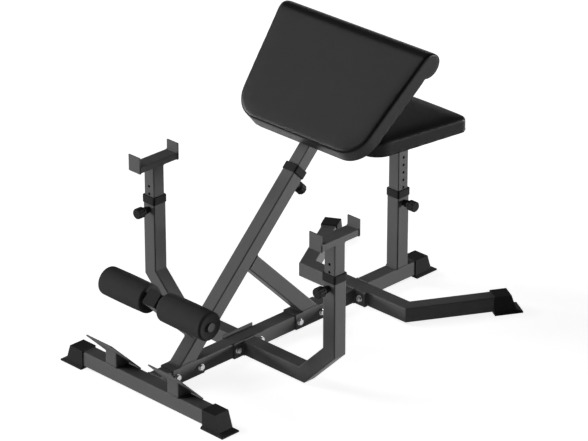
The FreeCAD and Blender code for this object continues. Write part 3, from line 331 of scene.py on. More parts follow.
class Finish:
    """A material's node tree, written from its texture coordinates to its shader."""

    def __init__(self, name):
        self.material = bpy.data.materials.new(FINISH_NAME.format(name))
        self.material.use_nodes = True
        self.tree = self.material.node_tree
        self.shader = self.tree.nodes["Principled BSDF"]
        self.place = self.add("ShaderNodeTexCoord").outputs["Object"]

    def add(self, kind, links=None, values=None, **settings):
        node = self.tree.nodes.new(kind)
        for key, value in settings.items():
            setattr(node, key, value)
        for key, value in (values or {}).items():
            node.inputs[key].default_value = value
        for key, output in (links or {}).items():
            self.tree.links.new(output, node.inputs[key])
        return node

    def noise(self, scale, detail=2.0, place=None):
        return self.add("ShaderNodeTexNoise", {"Vector": place or self.place},
                        {"Scale": scale, "Detail": detail}).outputs["Fac"]

    def cells(self, scale, feature="F1"):
        return self.add("ShaderNodeTexVoronoi", {"Vector": self.place}, {"Scale": scale},
                        feature=feature).outputs["Distance"]

    def stretched(self, scale):
        """Coordinates drawn out along the axes with the smaller scales."""
        return self.add("ShaderNodeMapping", {"Vector": self.place}, {"Scale": scale}).outputs["Vector"]

    def ranged(self, value, low, high, from_low=0.3, from_high=0.7):
        limits = {"From Min": from_low, "From Max": from_high, "To Min": low, "To Max": high}
        return self.add("ShaderNodeMapRange", {"Value": value}, limits).outputs["Result"]

    def times(self, first, second):
        node = self.add("ShaderNodeMath", {0: first}, operation="MULTIPLY")
        if isinstance(second, float):
            node.inputs[1].default_value = second
        else:
            self.tree.links.new(second, node.inputs[1])
        return node.outputs["Value"]

    def mixed(self, share, first, second):
        """Colour between two, each a tuple or a socket."""
        node = self.add("ShaderNodeMix", {0: share}, data_type="RGBA")
        for index, value in ((6, first), (7, second)):
            if isinstance(value, tuple):
                node.inputs[index].default_value = (*value, 1.0)
            else:
                self.tree.links.new(value, node.inputs[index])
        return node.outputs[2]

    def edges(self, radius):
        """Rounded normal of the edges, and how far it leaves the face's own normal there."""
        bevel = self.add("ShaderNodeBevel", values={"Radius": radius}, samples=6)
        own = self.add("ShaderNodeNewGeometry").outputs["Normal"]
        dot = self.add("ShaderNodeVectorMath", {0: bevel.outputs["Normal"], 1: own}, operation="DOT_PRODUCT")
        worn = self.ranged(dot.outputs["Value"], 0.0, 1.0, 0.995, 0.90)
        return bevel.outputs["Normal"], worn

    def bump(self, height, strength, distance, normal=None):
        links = {"Height": height}
        if normal is not None:
            links["Normal"] = normal
        node = self.add("ShaderNodeBump", links, {"Strength": strength, "Distance": distance})
        return node.outputs["Normal"]

    def finish(self, base, roughness, normal, specular, **extra):
        """Connects the shader: base, roughness and normal come from nodes, the rest are plain values."""
        self.tree.links.new(base, self.shader.inputs["Base Color"])
        self.tree.links.new(roughness, self.shader.inputs["Roughness"])
        self.tree.links.new(normal, self.shader.inputs["Normal"])
        self.shader.inputs["Specular IOR Level"].default_value = specular
        for key, value in extra.items():
            self.shader.inputs[key].default_value = value
        return self.material


def shade(rgb, factor):
    return tuple(min(1.0, part * factor) for part in rgb)


def powder_coat(rgb):
    """Satin paint: fine orange peel, slow drift in tone, thinner and lighter along the edges."""
    look = Finish("powder_coat")
    normal, worn = look.edges(0.0012)
    drift = look.mixed(look.noise(7.0), shade(rgb, 0.93), shade(rgb, 1.07))
    patchy = look.times(worn, look.ranged(look.noise(60.0), 0.0, 0.7))
    base = look.mixed(patchy, drift, shade(rgb, 1.25))
    peel = look.bump(look.noise(1000.0), 0.16, 0.0003, normal)
    return look.finish(base, look.ranged(look.noise(90.0), 0.48, 0.60), peel, 0.16)


def moulded(name, rgb, grain, specular):
    """Moulded plastic: spark-eroded grain, rubbed smoother and lighter on its edges."""
    look = Finish(name)
    normal, worn = look.edges(0.0008)
    drift = look.mixed(look.noise(30.0), shade(rgb, 0.86), shade(rgb, 1.16))
    base = look.mixed(look.times(worn, look.ranged(look.noise(120.0), 0.1, 0.8)), drift, shade(rgb, 1.7))
    bumps = look.bump(look.cells(grain), 0.22, 0.0003, normal)
    return look.finish(base, look.ranged(look.noise(160.0), 0.52, 0.68), bumps, specular)


def zinc_steel(rgb):
    """Zinc plating: turned and drawn marks, with dull cloudy patches."""
    look = Finish("zinc_steel")
    normal, worn = look.edges(0.0006)
    clouds = look.noise(140.0)
    base = look.mixed(clouds, shade(rgb, 0.8), shade(rgb, 1.08))
    base = look.mixed(look.times(worn, 0.5), base, shade(rgb, 1.3))
    marks = look.bump(look.noise(600.0, place=look.stretched((1.0, 1.0, 6.0))), 0.12, 0.0002, normal)
    return look.finish(base, look.ranged(clouds, 0.28, 0.48), marks, 0.5, Metallic=1.0)


def foam(rgb):
    """Closed-cell foam: fine skin cells over soft dents, the cells' dimples darker as painted shade, dry and matt.
    """
    look = Finish("foam")
    base = look.mixed(look.noise(22.0), shade(rgb, 0.85), shade(rgb, 1.18))
    # Painted shade: the foam is lighter on its cells' raised rims and darker in their dimples
    base = look.mixed(look.times(look.cells(900.0), 0.6), base, shade(rgb, 1.5))
    soft = look.bump(look.noise(60.0), 0.10, 0.0015)
    cells = look.bump(look.cells(900.0), 0.35, 0.0005, soft)
    return look.finish(base, look.ranged(look.noise(200.0), 0.82, 0.95), cells, 0.06)


def vinyl(rgb):
    """Grained vinyl: pebbles of about a millimetre, the creases between them darkened as painted shade, a slow
    drift in tone.
    """
    look = Finish("vinyl")
    crease_relief_and_shade = look.ranged(look.cells(620.0, "DISTANCE_TO_EDGE"), 0.0, 1.0, 0.0, 0.12)
    base = look.mixed(look.noise(9.0), shade(rgb, 0.90), shade(rgb, 1.10))
    # Painted shade: the vinyl is darkened to 0.72 of its tone in the creases between the pebbles
    base = look.mixed(crease_relief_and_shade, shade(rgb, 0.72), base)
    soft = look.bump(look.noise(35.0), 0.06, 0.002)
    grain = look.bump(crease_relief_and_shade, 0.22, 0.0004, soft)
    return look.finish(base, look.ranged(look.noise(80.0), 0.30, 0.38), grain, 0.13)


def plywood(rgb):
    """Plywood: long streaks across the bench, with short darker pores."""
    look = Finish("plywood")
    streaks = look.noise(40.0, 6.0, look.stretched((0.6, 8.0, 8.0)))
    base = look.mixed(streaks, shade(rgb, 0.6), shade(rgb, 1.2))
    pores = look.ranged(look.noise(300.0, 3.0, look.stretched((0.15, 3.0, 3.0))), 0.0, 1.0, 0.62, 0.7)
    base = look.mixed(pores, base, shade(rgb, 0.35))
    return look.finish(base, look.ranged(streaks, 0.62, 0.8), look.bump(streaks, 0.15, 0.0004), 0.3)


def finishes():
    """The material of each slot, made on first use."""
    rgb = bpy.context.scene.bench_finishes
    makers = {
        "powder_coat": lambda: powder_coat(tuple(rgb.powder_coat)),
        "cap_plastic": lambda: moulded("cap_plastic", tuple(rgb.cap_plastic), 700.0, 0.04),
        "knob_plastic": lambda: moulded("knob_plastic", tuple(rgb.knob_plastic), 1100.0, 0.05),
        "zinc_steel": lambda: zinc_steel(tuple(rgb.zinc_steel)),
        "foam": lambda: foam(tuple(rgb.foam)),
        "vinyl": lambda: vinyl(tuple(rgb.vinyl)),
        "plywood": lambda: plywood(tuple(rgb.plywood)),
        # Painted shade: the welt is vinyl darkened to 0.35, a dark line standing in for the seam groove's shadow
        "welt": lambda: moulded("welt", shade(tuple(rgb.vinyl), 0.35), 900.0, 0.04),
    }
    return {slot: bpy.data.materials.get(FINISH_NAME.format(slot)) or make() for slot, make in makers.items()}


class BENCH_OT_finishes(bpy.types.Operator):
    """Give every solid the finish of its slot"""

    bl_idname = "bench.finishes"
    bl_label = "Finishes"

    def execute(self, context):
        made = finishes()
        for part in RECORD["subparts"]:
            materials = NODES[part["node"]].data.materials
            materials.clear()
            materials.append(made[part["material_slot"]])
        return {"FINISHED"}


# Cushions

def whole_form(name, nodes, origin, axes, voxel):
    """Closed form of a cushion with its board, in even faces, in the cushion's own directions.

    The solids' points p become (p - origin) . axes, so that the faces follow the flat sides, and a voxel
    remesh of both solids together fills the board's recess.
    """
    grown = bmesh.new()
    for node in nodes:
        grown.from_mesh(NODES[node].data)
    bmesh.ops.remove_doubles(grown, verts=grown.verts, dist=1e-5)
    mesh = bpy.data.meshes.new(name)
    grown.to_mesh(mesh)
    grown.free()
    move_to(mesh, (coordinates(mesh) - origin) @ axes.T)
    piece = bpy.data.objects.new(name, mesh)
    bpy.context.scene.collection.objects.link(piece)
    remesh = piece.modifiers.new("faces", "REMESH")
    remesh.mode = "VOXEL"
    remesh.voxel_size = voxel
    settle(piece)
    return piece


def settle(piece):
    """Replace a piece's mesh by what its modifiers make of it."""
    shown = piece.evaluated_get(bpy.context.evaluated_depsgraph_get())
    mesh = bpy.data.meshes.new_from_object(shown)
    old = piece.data
    piece.modifiers.clear()
    piece.data = mesh
    mesh.name = piece.name
    bpy.data.meshes.remove(old)


def smoothed(piece, steps):
    smooth = piece.modifiers.new("smooth", "SMOOTH")
    smooth.factor = 0.5
    smooth.iterations = steps
    settle(piece)


def evened(mesh, values, steps):
    """A value at each point of a mesh, averaged step by step with the mean of its neighbours' values."""
    ends = np.empty(len(mesh.edges) * 2, np.int32)
    mesh.edges.foreach_get("vertices", ends)
    here = np.concatenate([ends[0::2], ends[1::2]])
    there = np.concatenate([ends[1::2], ends[0::2]])
    count = np.bincount(here, minlength=len(values))
    for _ in range(steps):
        values = (values + np.bincount(here, values[there], len(values)) / count) / 2
    return values


def filled(piece, held, reach):
    """Cover drawn in by half of reach and blown up by cloth pressure into a taut, evenly crowned form.

    Each free point p with normal n ends at p + n * (rise - reach / 2), where rise is how far the cloth
    moved along n, kept from 0 to reach and evened out over the cover.
    """
    mesh = piece.data
    normals = np.empty(len(mesh.vertices) * 3, np.float32)
    mesh.vertices.foreach_get("normal", normals)
    normals = normals.reshape(-1, 3) * ~held[:, None]
    start = coordinates(mesh) - normals * reach / 2
    move_to(mesh, start)
    group = piece.vertex_groups.new(name="held")
    group.add(np.flatnonzero(held).tolist(), 1.0, "REPLACE")
    cloth = piece.modifiers.new("fill", "CLOTH")
    rules = cloth.settings
    rules.quality = 6
    rules.mass = 0.25
    rules.tension_stiffness = 18.0
    rules.compression_stiffness = 18.0
    rules.shear_stiffness = 6.0
    rules.bending_stiffness = 1.0
    rules.use_pressure = True
    rules.uniform_pressure_force = 4.0
    rules.vertex_group_mass = "held"
    rules.effector_weights.gravity = 0.0
    cloth.collision_settings.use_collision = False
    cloth.point_cache.frame_start = 1
    cloth.point_cache.frame_end = FILL_FRAMES
    scene = bpy.context.scene
    for step in range(1, FILL_FRAMES + 1):
        scene.frame_set(step)
    shown = piece.evaluated_get(bpy.context.evaluated_depsgraph_get())
    moved = coordinates(shown.to_mesh()) - start
    shown.to_mesh_clear()
    piece.modifiers.remove(cloth)
    piece.vertex_groups.clear()
    scene.frame_set(1)
    rise = evened(mesh, np.clip((moved * normals).sum(axis=1), 0.0, reach), EVEN_ROUNDS)
    move_to(mesh, start + normals * rise[:, None])


def cushion(name, nodes, origin, axes, held_at, reach, voxel):
    """Padded piece from its solids: one form, filled, smoothed, and put back in the bench's frame."""
    piece = whole_form(name, nodes, origin, axes, voxel)
    filled(piece, held_at(coordinates(piece.data)), reach)
    smoothed(piece, 4)
    points = coordinates(piece.data)
    points[:, 2] += np.where(held_at(points), BACK_TUCK, 0.0)
    move_to(piece.data, origin + points @ axes)
    finer = piece.modifiers.new("finer", "SUBSURF")
    finer.levels = 1
    finer.render_levels = 1
    return piece


def snapped(path, piece):
    """A line's points moved to the nearest points of a piece's surface."""
    line = new_object("line", path, [])
    wrap = line.modifiers.new("wrap", "SHRINKWRAP")
    wrap.target = piece
    shown = line.evaluated_get(bpy.context.evaluated_depsgraph_get())
    points = coordinates(shown.to_mesh())
    shown.to_mesh_clear()
    mesh = line.data
    bpy.data.objects.remove(line)
    bpy.data.meshes.remove(mesh)
    return points


def hem_and_staples(loop, origin, axes, sizes):
    """Hem of a cover on its board and a row of staples on it, each as points and faces.

    The hem is a flat round-edged strip carried along the board's outline, its height rippled by
    1 + 0.3 sin(s / 9 mm). A staple is a block 10 mm along the line, 1.2 mm across and 0.7 mm high.
    """
    step = 0.004
    wave = 0.009
    half_high = 0.0009
    staple_lift = 0.0013
    staple_halves = np.array([0.005, 0.0006, 0.00035])
    out = -axes[2]
    flat = evenly(loop, step, True)
    path = origin + flat[:, :1] * axes[0] + flat[:, 1:] * axes[1]
    ring = circle(1.0, 16)
    section = np.sign(ring) * np.abs(ring) ** 0.45 * np.array([sizes.hem / 2, half_high])
    ripple = 1 + 0.3 * np.sin(np.arange(len(path)) * step / wave)
    across = np.broadcast_to(section[:, 0], (len(path), len(section)))
    strip = np.stack([across, ripple[:, None] * section[None, :, 1]], axis=-1)
    hem = carried(path, np.broadcast_to(out, path.shape), strip, True)
    flat = evenly(loop, sizes.staple_gap, True)
    spots = origin + flat[:, :1] * axes[0] + flat[:, 1:] * axes[1] + out * staple_lift
    run = unit(np.roll(spots, -1, 0) - np.roll(spots, 1, 0))
    side = np.cross(run, out)
    signs = np.array([[a, b, c] for a in (-1, 1) for b in (-1, 1) for c in (-1, 1)], float)
    a, b, c = np.split(signs * staple_halves, 3, axis=1)
    points = spots[:, None] + a * run[:, None] + b * side[:, None] + c * out
    block = np.array([[0, 1, 3, 2], [4, 6, 7, 5], [0, 4, 5, 1], [2, 3, 7, 6], [0, 2, 6, 4], [1, 5, 7, 3]])
    faces = (block[None] + 8 * np.arange(len(spots))[:, None, None]).reshape(-1, 4)
    points = points.reshape(-1, 3)
    return hem, (points, outward(points, faces).tolist())


def pad_place():
    """Lower back edge of the arm pad: the roll's far side less the roll's own place in the pad."""
    low, high = low_high("pad_cushion")
    roll = SLOPE * (PAD["length"] - PAD["roll"]) + FACE * (PAD["thick"] - PAD["roll"])
    return np.array([0.0, high[1] - roll[1] - PAD["roll"], low[2]])


def pad_half(up, height):
    """Half width of the arm pad at a distance up its slope and a height above its drawn-in back."""
    wide = PAD["low"] + (PAD["top"] - PAD["low"]) * up / PAD["length"]
    return wide - PAD["draw"] * (1 - height / PAD["thick"])


def pad_face(up):
    """Height of the arm pad's crowned face: a circle's arc that ends level at the roll."""
    end = PAD["length"] - PAD["roll"]
    radius = (end ** 2 + PAD["crown"] ** 2) / (2 * PAD["crown"])
    return PAD["thick"] - radius + np.sqrt(radius ** 2 - (end - np.minimum(up, end)) ** 2)


def pad_seam():
    """Line of the arm pad's welt: round one end of the roll, down the side, along the lower edge, and back.

    Round the roll it is end + roll * (cos t, sin t) from next to the notch to the face; below, it follows
    the outline at the height of the face, drawn in by 2.6 mm to the middle of the rounded edge.
    """
    drawn_in = 0.0026
    notch_gap = 0.12
    step = 0.0025
    end = PAD["length"] - PAD["roll"]
    rise = PAD["thick"] - PAD["roll"]
    radius = PAD["roll"] - drawn_in
    t = np.linspace(math.asin(rise / PAD["roll"]) - math.pi + notch_gap, math.pi / 2, 60)
    up = end + radius * np.cos(t)
    height = rise + radius * np.sin(t)
    around = np.stack([pad_half(up, height) - drawn_in, up, height], axis=1)
    foot = PAD["lean"] * pad_face(0.0) / PAD["thick"]
    low_half = pad_half(foot, PAD["thick"])
    loop = tapered_loop(foot, PAD["length"], low_half, PAD["top"], PAD["corner"], 0.0, drawn_in)
    corner = loop[:CORNER_POINTS][::-1]
    corner = np.column_stack([corner, pad_face(corner[:, 1]) - drawn_in])
    half = np.vstack([around, corner])
    other = half[::-1] * np.array([-1.0, 1.0, 1.0])
    return evenly(np.vstack([half, other]), step, False)


class BENCH_OT_arm_pad(bpy.types.Operator):
    """Make the arm pad's cushion, its welt, and the hem and staples on its board"""

    bl_idname = "bench.arm_pad"
    bl_label = "Arm pad"

    def execute(self, context):
        sizes = context.scene.bench_sizes
        made = finishes()
        origin = pad_place()
        axes = np.stack([ACROSS, SLOPE, FACE])
        notch = PAD["length"] - PAD["roll"] * 2

        def held_at(points):
            return (np.abs(points[:, 2]) < BACK_BAND) & (points[:, 1] < notch - BACK_BAND)

        pad = cushion("arm_pad_cushion", ("pad_cushion", "pad_board"), origin, axes, held_at,
                      sizes.pad_swell, sizes.voxel)
        dress(pad, "arm_pad", made["vinyl"])
        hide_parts("pad_cushion")
        line = pad_seam()
        # The welt's round section faces away from a smaller outline inside the pad
        core = np.column_stack([line[:, 0] * 0.75,
                                np.clip(line[:, 1], 0.08, PAD["length"] - PAD["roll"]),
                                np.full(len(line), 0.02)])
        path = snapped(origin + line @ axes, pad)
        points, faces = carried(path, unit((line - core) @ axes), circle(sizes.welt, 10), False)
        # The welt's darkened vinyl is painted shade of the seam's groove
        dress(new_object("arm_pad_welt", points, faces), "arm_pad", made["welt"])
        loop = tapered_loop(0.0, notch, pad_half(0.0, 0.0), pad_half(notch, 0.0), PAD["corner"],
                            BOARD_CORNER, HEM_MARGIN + sizes.hem / 2)
        hem, staples = hem_and_staples(loop, origin, axes, sizes)
        dress(new_object("arm_pad_hem", *hem), "arm_pad", made["vinyl"])
        dress(new_object("arm_pad_staples", *staples), "arm_pad", made["zinc_steel"])
        return {"FINISHED"}


class BENCH_OT_seat(bpy.types.Operator):
    """Make the seat's cushion and the hem and staples on its board"""

    bl_idname = "bench.seat"
    bl_label = "Seat"

    def execute(self, context):
        sizes = context.scene.bench_sizes
        made = finishes()
        origin = np.array([0.0, POST[1], low_high("seat_cushion")[0][2]])
        axes = np.stack([ACROSS, ALONG, UP])
        seat = cushion("seat_pad", ("seat_cushion", "seat_board"), origin, axes,
                       lambda points: np.abs(points[:, 2]) < BACK_BAND, sizes.seat_swell, sizes.voxel)
        dress(seat, "seat", made["vinyl"])
        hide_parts("seat_cushion")
        loop = tapered_loop(SEAT["front"], SEAT["back"], SEAT["front_half"], SEAT["back_half"],
                            SEAT["front_corner"], SEAT["back_corner"], HEM_MARGIN + sizes.hem / 2)
        hem, staples = hem_and_staples(loop, origin, axes, sizes)
        dress(new_object("seat_hem", *hem), "seat", made["vinyl"])
        dress(new_object("seat_staples", *staples), "seat", made["zinc_steel"])
        return {"FINISHED"}


# Rollers

def roller_surface(node, bore, rounding):
    """Foam tube: the profile (x, r) turned about the axle, point = axle + (x, r sin t, r cos t).

    The profile runs up one end, round its rim, along the side, round the other rim, down that end and back
    along the bore. The rims are drawn in by 0.6 mm, the side swells by 1 mm times sin(pi s), and the ends
    are dished by 1.2 mm times sin(pi s).
    """
    drawn_in = 0.0006
    swell = 0.0010
    dished = 0.0012
    turns = 96
    low, high = low_high(node)
    mid = (low + high) / 2
    radius = (high[2] - low[2]) / 2
    rim = radius - drawn_in
    t = np.linspace(0.0, np.pi / 2, 9)
    s = np.linspace(0.0, 1.0, 41)[1:-1]
    climb = np.linspace(0.0, 1.0, 8)[:-1]
    ends = bore + climb * (radius - rounding - bore)
    dish = dished * np.sin(np.pi * climb)
    side = rim + swell * np.sin(np.pi * s)
    run = (low[0] + rounding) + s * (high[0] - low[0] - 2 * rounding)
    x = np.concatenate([low[0] + dish, low[0] + rounding * (1 - np.cos(t)), run,
                        high[0] - rounding * (1 - np.sin(t)), (high[0] - dish)[::-1]])
    r = np.concatenate([ends, rim - rounding * (1 - np.sin(t)), side,
                        rim - rounding * (1 - np.cos(t)), ends[::-1]])
    turn = np.linspace(0.0, 2 * np.pi, turns, endpoint=False)[:, None]
    points = np.stack([np.broadcast_to(x, (turns, len(x))), mid[1] + r * np.sin(turn),
                       mid[2] + r * np.cos(turn)], axis=-1)
    points = points.reshape(-1, 3)
    return points, outward(points, grid_faces(turns, len(x), True, True))


class BENCH_OT_rollers(bpy.types.Operator):
    """Make the two foam rollers"""

    bl_idname = "bench.rollers"
    bl_label = "Foam rollers"

    def execute(self, context):
        made = finishes()
        play = 0.0003
        rounding = 0.008
        low, high = low_high("roller_axle")
        bore = (high[2] - low[2]) / 2 + play
        for side in ("left", "right"):
            roller = new_object(f"foam_roller_{side}", *roller_surface(f"roller_{side}", bore, rounding))
            dress(roller, f"{side}_roller", made["foam"])
            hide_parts(f"roller_{side}")
        return {"FINISHED"}


# Pull knobs

def skirt_surface(lock, sizes):
    """Sleeve from a pull knob's neck over its pin's guide: point = neck + axis * a + r (u cos t + v sin t).

    The section (a, r) is a thin closed ring with an eased free edge; u and v are square to the pin's axis.
    """
    turns = 48
    axis = np.array(JOINTS[f"{lock}_pull"]["axis"], float)
    neck = middle(LOCK_PINS[lock]) + axis * NECK_FROM_PIN
    inner = sizes.skirt - sizes.skirt_wall
    ease = sizes.skirt_wall / 3
    free = -sizes.skirt_length
    outer = sizes.skirt
    a = np.array([free, free, free + ease, free + 2 * ease, ease, ease, free + 2 * ease, free + ease])
    r = np.array([inner + ease, outer - ease, outer, outer, outer, inner, inner, inner])
    u = unit(np.cross(axis, UP))
    v = np.cross(axis, u)
    turn = circle(1.0, turns)
    spokes = turn[:, :1] * u + turn[:, 1:] * v
    points = (neck + a[None, :, None] * axis + r[None, :, None] * spokes[:, None]).reshape(-1, 3)
    return points, outward(points, grid_faces(turns, len(a), True, True))


class BENCH_OT_knob_skirts(bpy.types.Operator):
    """Make the pull knobs' skirts"""

    bl_idname = "bench.knob_skirts"
    bl_label = "Knob skirts"

    def execute(self, context):
        made = finishes()
        for lock in LOCK_PINS:
            skirt = new_object(f"{lock}_skirt", *skirt_surface(lock, context.scene.bench_sizes))
            dress(skirt, lock, made["knob_plastic"])
        return {"FINISHED"}


# Welds

def bead(path, closed, sizes):
    """Weld bead: a round profile carried along a joint's line, tapered towards open ends.

    Its radius at the distance s is bead * (0.92 + 0.16 |sin(pi s / step)|).
    """
    count = len(path)
    apart = np.linalg.norm(path[1] - path[0])
    ripple = 0.92 + 0.16 * np.abs(np.sin(np.pi * np.arange(count) * apart / sizes.bead_step))
    if not closed:
        s = np.linspace(0.0, 1.0, count)
        ripple = ripple * np.clip(np.minimum(s, 1 - s) * count / 4, 0.15, 1.0)
    profile = ripple[:, None, None] * circle(sizes.bead, 8)[None]
    if closed:
        flat = path - path.mean(axis=0)
        out = np.cross(flat[0], flat[count // 4])
    else:
        out = np.eye(3)[np.argmin(np.abs(path[-1] - path[0]))]
    return carried(path, np.broadcast_to(unit(out), path.shape), profile, closed)


def loop_bead(center, u, v, half_u, half_v, radius, sizes):
    """Bead round a tube's end: the outline in the plane of u and v through center."""
    flat = evenly(rectangle_loop(half_u, half_v, radius), sizes.bead_step / 4, True)
    return bead(np.array(center) + flat[:, :1] * u + flat[:, 1:] * v, True, sizes)


def ring_bead(center, u, v, radius, sizes):
    """Bead round a bar's end."""
    flat = evenly(circle(radius, 48), sizes.bead_step / 4, True)
    return bead(np.array(center) + flat[:, :1] * u + flat[:, 1:] * v, True, sizes)


def line_bead(start, end, sizes):
    """Bead along a straight joint."""
    return bead(evenly(np.array([start, end], float), sizes.bead_step / 4, False), False, sizes)


def on_column(out, along):
    """Place at a distance above the column's axis and along it from its foot."""
    return COLUMN_FOOT + FACE * out + SLOPE * along


def frame_beads(sizes):
    """Beads of the fixed frame."""
    half = TUBE / 2
    slant = half / SLOPE[2]
    corner = 0.004
    stub_rise = 0.003
    flange_margin = 0.003
    axle_ring = 0.0125
    beads = [loop_bead(COLUMN_FOOT, ACROSS, ALONG, half, slant, corner, sizes),
             loop_bead(BRACE_FOOT, ACROSS, ALONG, half, slant, corner, sizes)]
    brace_along = (BRACE_FOOT - COLUMN_FOOT) @ SLOPE
    beads.append(loop_bead(on_column(-half, brace_along), ACROSS, SLOPE, half, half, corner, sizes))
    axle = middle("roller_axle")
    arm_along = (axle - COLUMN_FOOT) @ SLOPE
    beads.append(loop_bead(on_column(half, arm_along), ACROSS, SLOPE, half, half, corner, sizes))
    beads.append(loop_bead([0, POST[1], BASE_TOP], ACROSS, ALONG, half, half, corner, sizes))
    bar_rear = low_high("front_bar")[1][1]
    bar_mid = middle("front_bar")[1]
    flange_low, flange_high = low_high("flange_plates")
    rear_mid = middle("rear_bar")[1]
    for y in (bar_rear, flange_low[1], rear_mid + half):
        beads.append(loop_bead([0, y, BASE_MID], ACROSS, UP, half, half, corner, sizes))
    slope = unit(np.array([0.0, 1.0, -1.0]))
    stub_top = BASE_TOP + stub_rise + half
    for sign in (-1, 1):
        foot = middle("foot_plate_right")[0] * sign
        beads.append(loop_bead([foot, bar_mid, BASE_TOP], ACROSS, ALONG, half, half, corner, sizes))
        beads.append(loop_bead([foot, bar_mid, stub_top], ACROSS, slope, half, slant, corner, sizes))
        edge = np.array([flange_high[0] * sign, flange_high[1], 0.0])
        beads.append(line_bead(edge + UP * (BASE_LOW[2] + flange_margin),
                               edge + UP * (BASE_TOP - flange_margin), sizes))
        rack_foot = [SADDLE_HALF * sign, RACK_Y, RACK_LOW]
        beads.append(loop_bead(rack_foot, ALONG, UP, half, half, corner, sizes))
        beads.append(ring_bead([half * sign, axle[1], axle[2]], ALONG, UP, axle_ring, sizes))
    return beads


def slide_beads(sizes):
    """Beads of the pieces that slide, by body."""
    half = SLIDE / 2
    corner = 0.003
    carriers_along = (0.120, 0.262)
    carrier_half = 0.020
    carrier_reach = half * 0.85
    lip_half = 0.004
    tray_half = 0.011
    tube_face = on_column(half, 0.0)
    carriers = []
    for along in carriers_along:
        for edge in (-carrier_half, carrier_half):
            spot = pad_place() + SLOPE * (along + edge)
            spot = spot + FACE * ((tube_face - spot) @ FACE)
            carriers.append(line_bead(spot - ACROSS * carrier_reach, spot + ACROSS * carrier_reach, sizes))
    plate = low_high("seat_plate")[0][2]
    beads = {"arm_pad": carriers,
             "seat": [loop_bead([0, POST[1], plate], ACROSS, ALONG, half, half, corner, sizes)]}
    for side, sign in (("left", -1), ("right", 1)):
        low, high = low_high(f"bar_rest_{side}")
        rows = [loop_bead([RACK_X * sign, RACK_Y, low[2]], ACROSS, ALONG, half, half, corner, sizes)]
        for y in (low[1] + lip_half, high[1] - lip_half):
            lip = [RACK_X * sign, y, low[2] + tray_half]
            rows.append(loop_bead(lip, ACROSS, UP, TUBE / 2, tray_half, corner, sizes))
        beads[f"{side}_rest"] = rows
    return beads


class BENCH_OT_welds(bpy.types.Operator):
    """Lay weld beads where tubes and plates meet"""

    bl_idname = "bench.welds"
    bl_label = "Weld beads"

    def execute(self, context):
        sizes = context.scene.bench_sizes
        made = finishes()
        beads = {"frame": frame_beads(sizes), **slide_beads(sizes)}
        for body, rows in beads.items():
            dress(new_object(f"{body}_welds", *joined(rows)), body, made["powder_coat"])
        return {"FINISHED"}


# Stage

def camera_sees(tree):
    """1 for rays from the camera and for those that a surface reflects or lets through."""
    path = tree.nodes.new("ShaderNodeLightPath")
    total = path.outputs["Is Camera Ray"]
    for name in ("Is Glossy Ray", "Is Transmission Ray"):
        node = tree.nodes.new("ShaderNodeMath")
        node.operation = "MAXIMUM"
        tree.links.new(total, node.inputs[0])
        tree.links.new(path.outputs[name], node.inputs[1])
        total = node.outputs["Value"]
    return total


def floor_finish():
    """Pale floor: diffuse, so it takes shadows, with a glow that lifts it to white."""
    material = bpy.data.materials.new("pale_floor")
    material.use_nodes = True
    tree = material.node_tree
    shader = tree.nodes["Principled BSDF"]
    shader.inputs["Base Color"].default_value = (FLOOR_GREY, FLOOR_GREY, FLOOR_GREY, 1.0)
    shader.inputs["Roughness"].default_value = 0.9
    shader.inputs["Specular IOR Level"].default_value = 0.0
    shader.inputs["Emission Color"].default_value = (1.0, 1.0, 1.0, 1.0)
    glow = tree.nodes.new("ShaderNodeMath")
    glow.operation = "MULTIPLY"
    glow.inputs[1].default_value = FLOOR_GLOW
    tree.links.new(camera_sees(tree), glow.inputs[0])
    tree.links.new(glow.outputs["Value"], shader.inputs["Emission Strength"])
    return material


def lamp(name, direction, strength, spread):
    """Soft far lamp that shines along a direction."""
    data = bpy.data.lights.new(name, "SUN")
    data.energy = strength
    data.angle = math.radians(spread)
    item = bpy.data.objects.new(name, data)
    item.rotation_euler = Vector(direction).to_track_quat("-Z", "Y").to_euler()
    bpy.context.scene.collection.objects.link(item)


def studio_sky(strength):
    """Even weak light, with a backdrop for the camera and reflections.

    The backdrop is white round the horizon and dims towards the ceiling.
    """
    world = bpy.data.worlds.new("sky")
    world.use_nodes = True
    tree = world.node_tree
    even = tree.nodes["Background"]
    even.inputs["Color"].default_value = (1.0, 1.0, 1.0, 1.0)
    even.inputs["Strength"].default_value = strength
    direction = tree.nodes.new("ShaderNodeTexCoord")
    height = tree.nodes.new("ShaderNodeSeparateXYZ")
    tree.links.new(direction.outputs["Generated"], height.inputs[0])
    fade = tree.nodes.new("ShaderNodeMapRange")
    for key, value in {"From Min": 0.06, "From Max": 0.24, "To Min": 1.0, "To Max": 0.04}.items():
        fade.inputs[key].default_value = value
    tree.links.new(height.outputs["Z"], fade.inputs["Value"])
    backdrop = tree.nodes.new("ShaderNodeBackground")
    backdrop.inputs["Color"].default_value = (1.0, 1.0, 1.0, 1.0)
    tree.links.new(fade.outputs["Result"], backdrop.inputs["Strength"])
    mix = tree.nodes.new("ShaderNodeMixShader")
    tree.links.new(camera_sees(tree), mix.inputs[0])
    tree.links.new(even.outputs[0], mix.inputs[1])
    tree.links.new(backdrop.outputs[0], mix.inputs[2])
    tree.links.new(mix.outputs[0], tree.nodes["World Output"].inputs["Surface"])
    return world


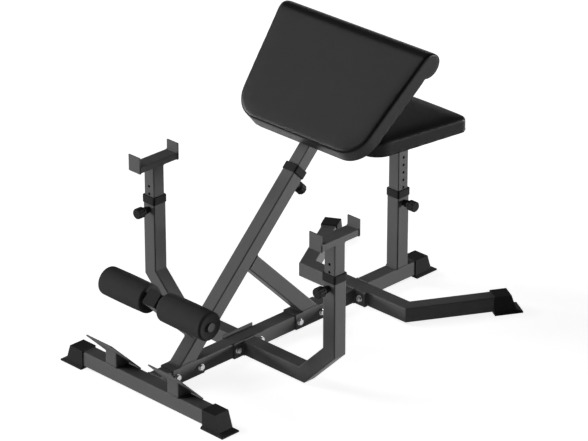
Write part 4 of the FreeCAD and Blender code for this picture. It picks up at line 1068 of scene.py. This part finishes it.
class BENCH_OT_stage(bpy.types.Operator):
    """Set up the floor, the lamps, the sky and the camera"""

    bl_idname = "bench.stage"
    bl_label = "Stage"

    def execute(self, context):
        scene = context.scene
        stage = scene.bench_stage
        side = 30.0
        points = np.array([[-side, -side, 0], [side, -side, 0], [side, side, 0], [-side, side, 0]])
        floor = new_object("floor", points, [[0, 1, 2, 3]])
        floor.data.materials.append(floor_finish())
        for name, (direction, spread) in LAMPS.items():
            lamp(name, direction, getattr(stage, name), spread)
        scene.world = studio_sky(stage.sky)
        scene.view_settings.view_transform = "Standard"
        data = bpy.data.cameras.new("camera")
        data.lens = stage.lens
        data.sensor_width = 36.0
        data.clip_end = 200.0
        camera = bpy.data.objects.new("camera", data)
        a = stage.azimuth
        e = stage.elevation
        back = Vector((math.sin(a) * math.cos(e), -math.cos(a) * math.cos(e), math.sin(e)))
        camera.location = Vector(stage.target) + back * stage.distance
        camera.rotation_euler = back.to_track_quat("Z", "Y").to_euler()
        scene.collection.objects.link(camera)
        scene.camera = camera
        return {"FINISHED"}


STEPS = (BENCH_OT_stage, BENCH_OT_finishes, BENCH_OT_arm_pad, BENCH_OT_seat, BENCH_OT_rollers,
         BENCH_OT_knob_skirts, BENCH_OT_welds)


class VIEW3D_PT_bench(bpy.types.Panel):
    """Steps and values of the bench"""

    bl_label = "Preacher curl bench"
    bl_space_type = "VIEW_3D"
    bl_region_type = "UI"
    bl_category = "Bench"

    def draw(self, context):
        for step in STEPS:
            self.layout.operator(step.bl_idname)
        for group in (context.scene.bench_finishes, context.scene.bench_sizes, context.scene.bench_stage):
            box = self.layout.box()
            for name in group.__annotations__:
                box.prop(group, name)


GROUPS = {"bench_finishes": BenchFinishes, "bench_sizes": BenchSizes, "bench_stage": BenchStage}


def register():
    for item in (*GROUPS.values(), *STEPS, VIEW3D_PT_bench):
        bpy.utils.register_class(item)
    for name, group in GROUPS.items():
        setattr(bpy.types.Scene, name, PointerProperty(type=group))


def unregister():
    for name in GROUPS:
        delattr(bpy.types.Scene, name)
    for item in (VIEW3D_PT_bench, *STEPS[::-1], *GROUPS.values()):
        bpy.utils.unregister_class(item)


def main():
    register()
    bpy.ops.bench.stage()
    bpy.ops.bench.finishes()
    bpy.ops.bench.arm_pad()
    bpy.ops.bench.seat()
    bpy.ops.bench.rollers()
    bpy.ops.bench.knob_skirts()
    bpy.ops.bench.welds()


if __name__ == "__main__":
    main()
